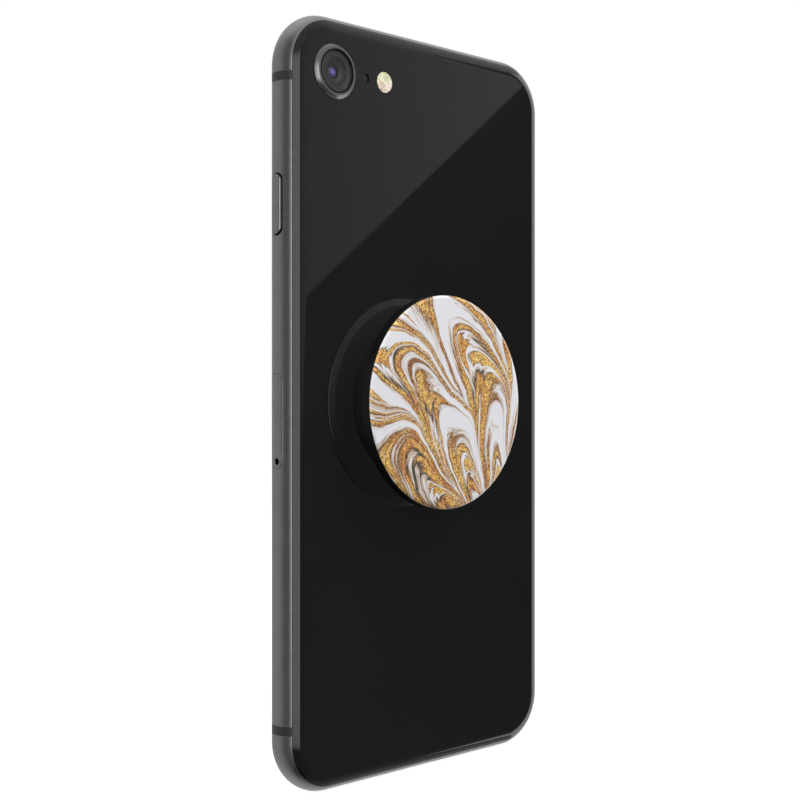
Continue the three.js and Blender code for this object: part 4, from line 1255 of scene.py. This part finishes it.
def make_floor():
    """A plain pale floor at the object's lowest point."""
    low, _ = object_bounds()
    mesh = bpy.data.meshes.new("floor")
    corners = [((2 * a - 1) * FLOOR_HALF, (2 * b - 1) * FLOOR_HALF, low[2]) for a, b in CORNERS]
    mesh.from_pydata(corners, [], [(0, 1, 2, 3)])
    pale = Finish("pale_floor", base_color=(0.35, 0.35, 0.35), roughness=0.9, specular_ior_level=0.0,
                  emission_color=(1, 1, 1), emission_strength=0.88)
    mesh.materials.append(pale.material)
    floor = linked("floor", mesh)
    floor.visible_glossy = floor.visible_transmission = floor.visible_diffuse = False


def aimed(name, data, place, back):
    """A light or camera at a place, with its back turned to a direction."""
    thing = linked(name, data)
    thing.location = place
    thing.rotation_mode = "QUATERNION"
    thing.rotation_quaternion = back.to_track_quat("Z", "Y")
    return thing


def make_lights():
    for card in ARC_CARDS:
        arc_card(*card)
    for name, corners, shares in WINDOW_CARDS:
        glow_sheet(name, [(x, WINDOW_Y, z) for x, z in corners], 1.0, shares)
    for name, azimuth, elevation, distance, size, power in SOFT_LIGHTS:
        data = bpy.data.lights.new(name, "AREA")
        data.shape = "SQUARE"
        data.size = size
        data.energy = power
        ray = direction(azimuth, elevation)
        lamp = aimed(name, data, ray * distance, ray)
        lamp.visible_camera = lamp.visible_glossy = False


def make_camera_view():
    data = bpy.data.cameras.new("camera")
    data.lens = CAMERA_LENS
    data.sensor_width = 36.0
    data.clip_start = 0.01
    data.clip_end = 50.0
    place = Vector(CAMERA_PLACE) * MM
    scene.camera = aimed("camera", data, place, place - Vector(CAMERA_AIM) * MM)


# ------------------------------ everything


def dress(finish, *nodes):
    """Gives CAD nodes that stay in view, or inside the phone, their material."""
    for node in nodes:
        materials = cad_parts[node].data.materials
        materials.clear()
        materials.append(finish.material)


def make_object():
    metal = speckled("anodised_metal", ((0.27, 0.275, 0.285), (0.33, 0.335, 0.345)), (0.24, 0.32), 14, 0.0012,
                     metallic=1.0)
    strip = speckled("strip_plastic", ((0.020, 0.021, 0.023), (0.032, 0.033, 0.036)), (0.36, 0.5), 9, 0.003)
    screen = speckled("woven_steel", ((0.10, 0.10, 0.105), (0.2, 0.2, 0.21)), (0.3, 0.5), 12, 0.003,
                      metallic=1.0)
    black = moulded_black("moulded_black")
    seal = moulded_black("seal_rubber", 0.004, (0.5, 0.65), 9, 0.002, specular_ior_level=0.15)
    baffle = ribbed_black()
    dark_trim = polished_metal("dark_trim", (0.19, 0.19, 0.2), (0.23, 0.23, 0.24), (0.2, 0.28))
    bright_steel = polished_metal("bright_steel", (0.45, 0.45, 0.46), (0.62, 0.62, 0.63), (0.2, 0.35))
    glass, cover = clear_glass(), front_glass()

    make_frame(metal)
    make_strips(strip)
    make_glass(back_glass(), cover)
    make_keys(metal)
    make_mute(metal)
    make_tray(metal)
    make_camera(dark_trim, glass, baffle, lens_coating_and_painted_glint(Box("lens_barrel")), black, seal)
    make_flash(flash_material(Box("flash_lens")), black)
    make_screens(screen, black)
    make_home(dark_trim, cover)
    make_front_camera(glass, baffle, lens_coating_and_painted_glint(Box("front_camera")))
    make_screws(bright_steel)
    make_grip(
        moulded_black("foot_plastic", 0.006, (0.16, 0.24), 6, 0.0008, specular_ior_level=0.4),
        moulded_black("neck_rubber", 0.008, (0.5, 0.65), 9, 0.004),
        moulded_black("cap_plastic", 0.006, (0.26, 0.36), 6, 0.002, specular_ior_level=0.13),
        marbled_print(Box("grip_top")),
    )

    heavy = speckled("heavy_metal", ((0.18, 0.18, 0.19), (0.26, 0.26, 0.27)), (0.4, 0.6), 8, 0.01, metallic=1.0)
    foil = speckled("cell_foil", ((0.018, 0.019, 0.021), (0.03, 0.031, 0.034)), (0.45, 0.6), 2, 0.02)
    diffuser = speckled("diffuser", ((0.7, 0.7, 0.68), (0.78, 0.78, 0.76)), (0.5, 0.6), 5, 0.003)
    dress(contact_card(Box("sim_card")), "sim_card")
    dress(circuit_board(), "logic_board", "home_sensor", "flash_board")
    dress(wound_copper(), "charging_coil")
    dress(bright_steel, "display_shield", "board_shield_front", "board_shield_rear", "rear_plate",
          "haptic_housing", "camera_housing", "sim_reader")
    dress(heavy, "haptic_mass")
    dress(foil, "battery")
    dress(diffuser, "backlight")
    dress(moulded_black("panel_black", 0.006, (0.2, 0.3)), "display_panel")
    foam = moulded_black("foam_black", 0.01, (0.75, 0.9), 6, 0.02)
    dress(foam, "display_gasket", "rear_adhesive", "grip_pad")
    dress(black, "power_switch", "volume_up_switch", "volume_down_switch", "mute_switch", "earpiece_speaker",
          "front_camera", "light_sensor", "loudspeaker", "charge_port", "bottom_microphone")


scene.view_settings.view_transform = "Standard"
make_camera_view()
make_world()
make_object()
make_floor()
make_lights()
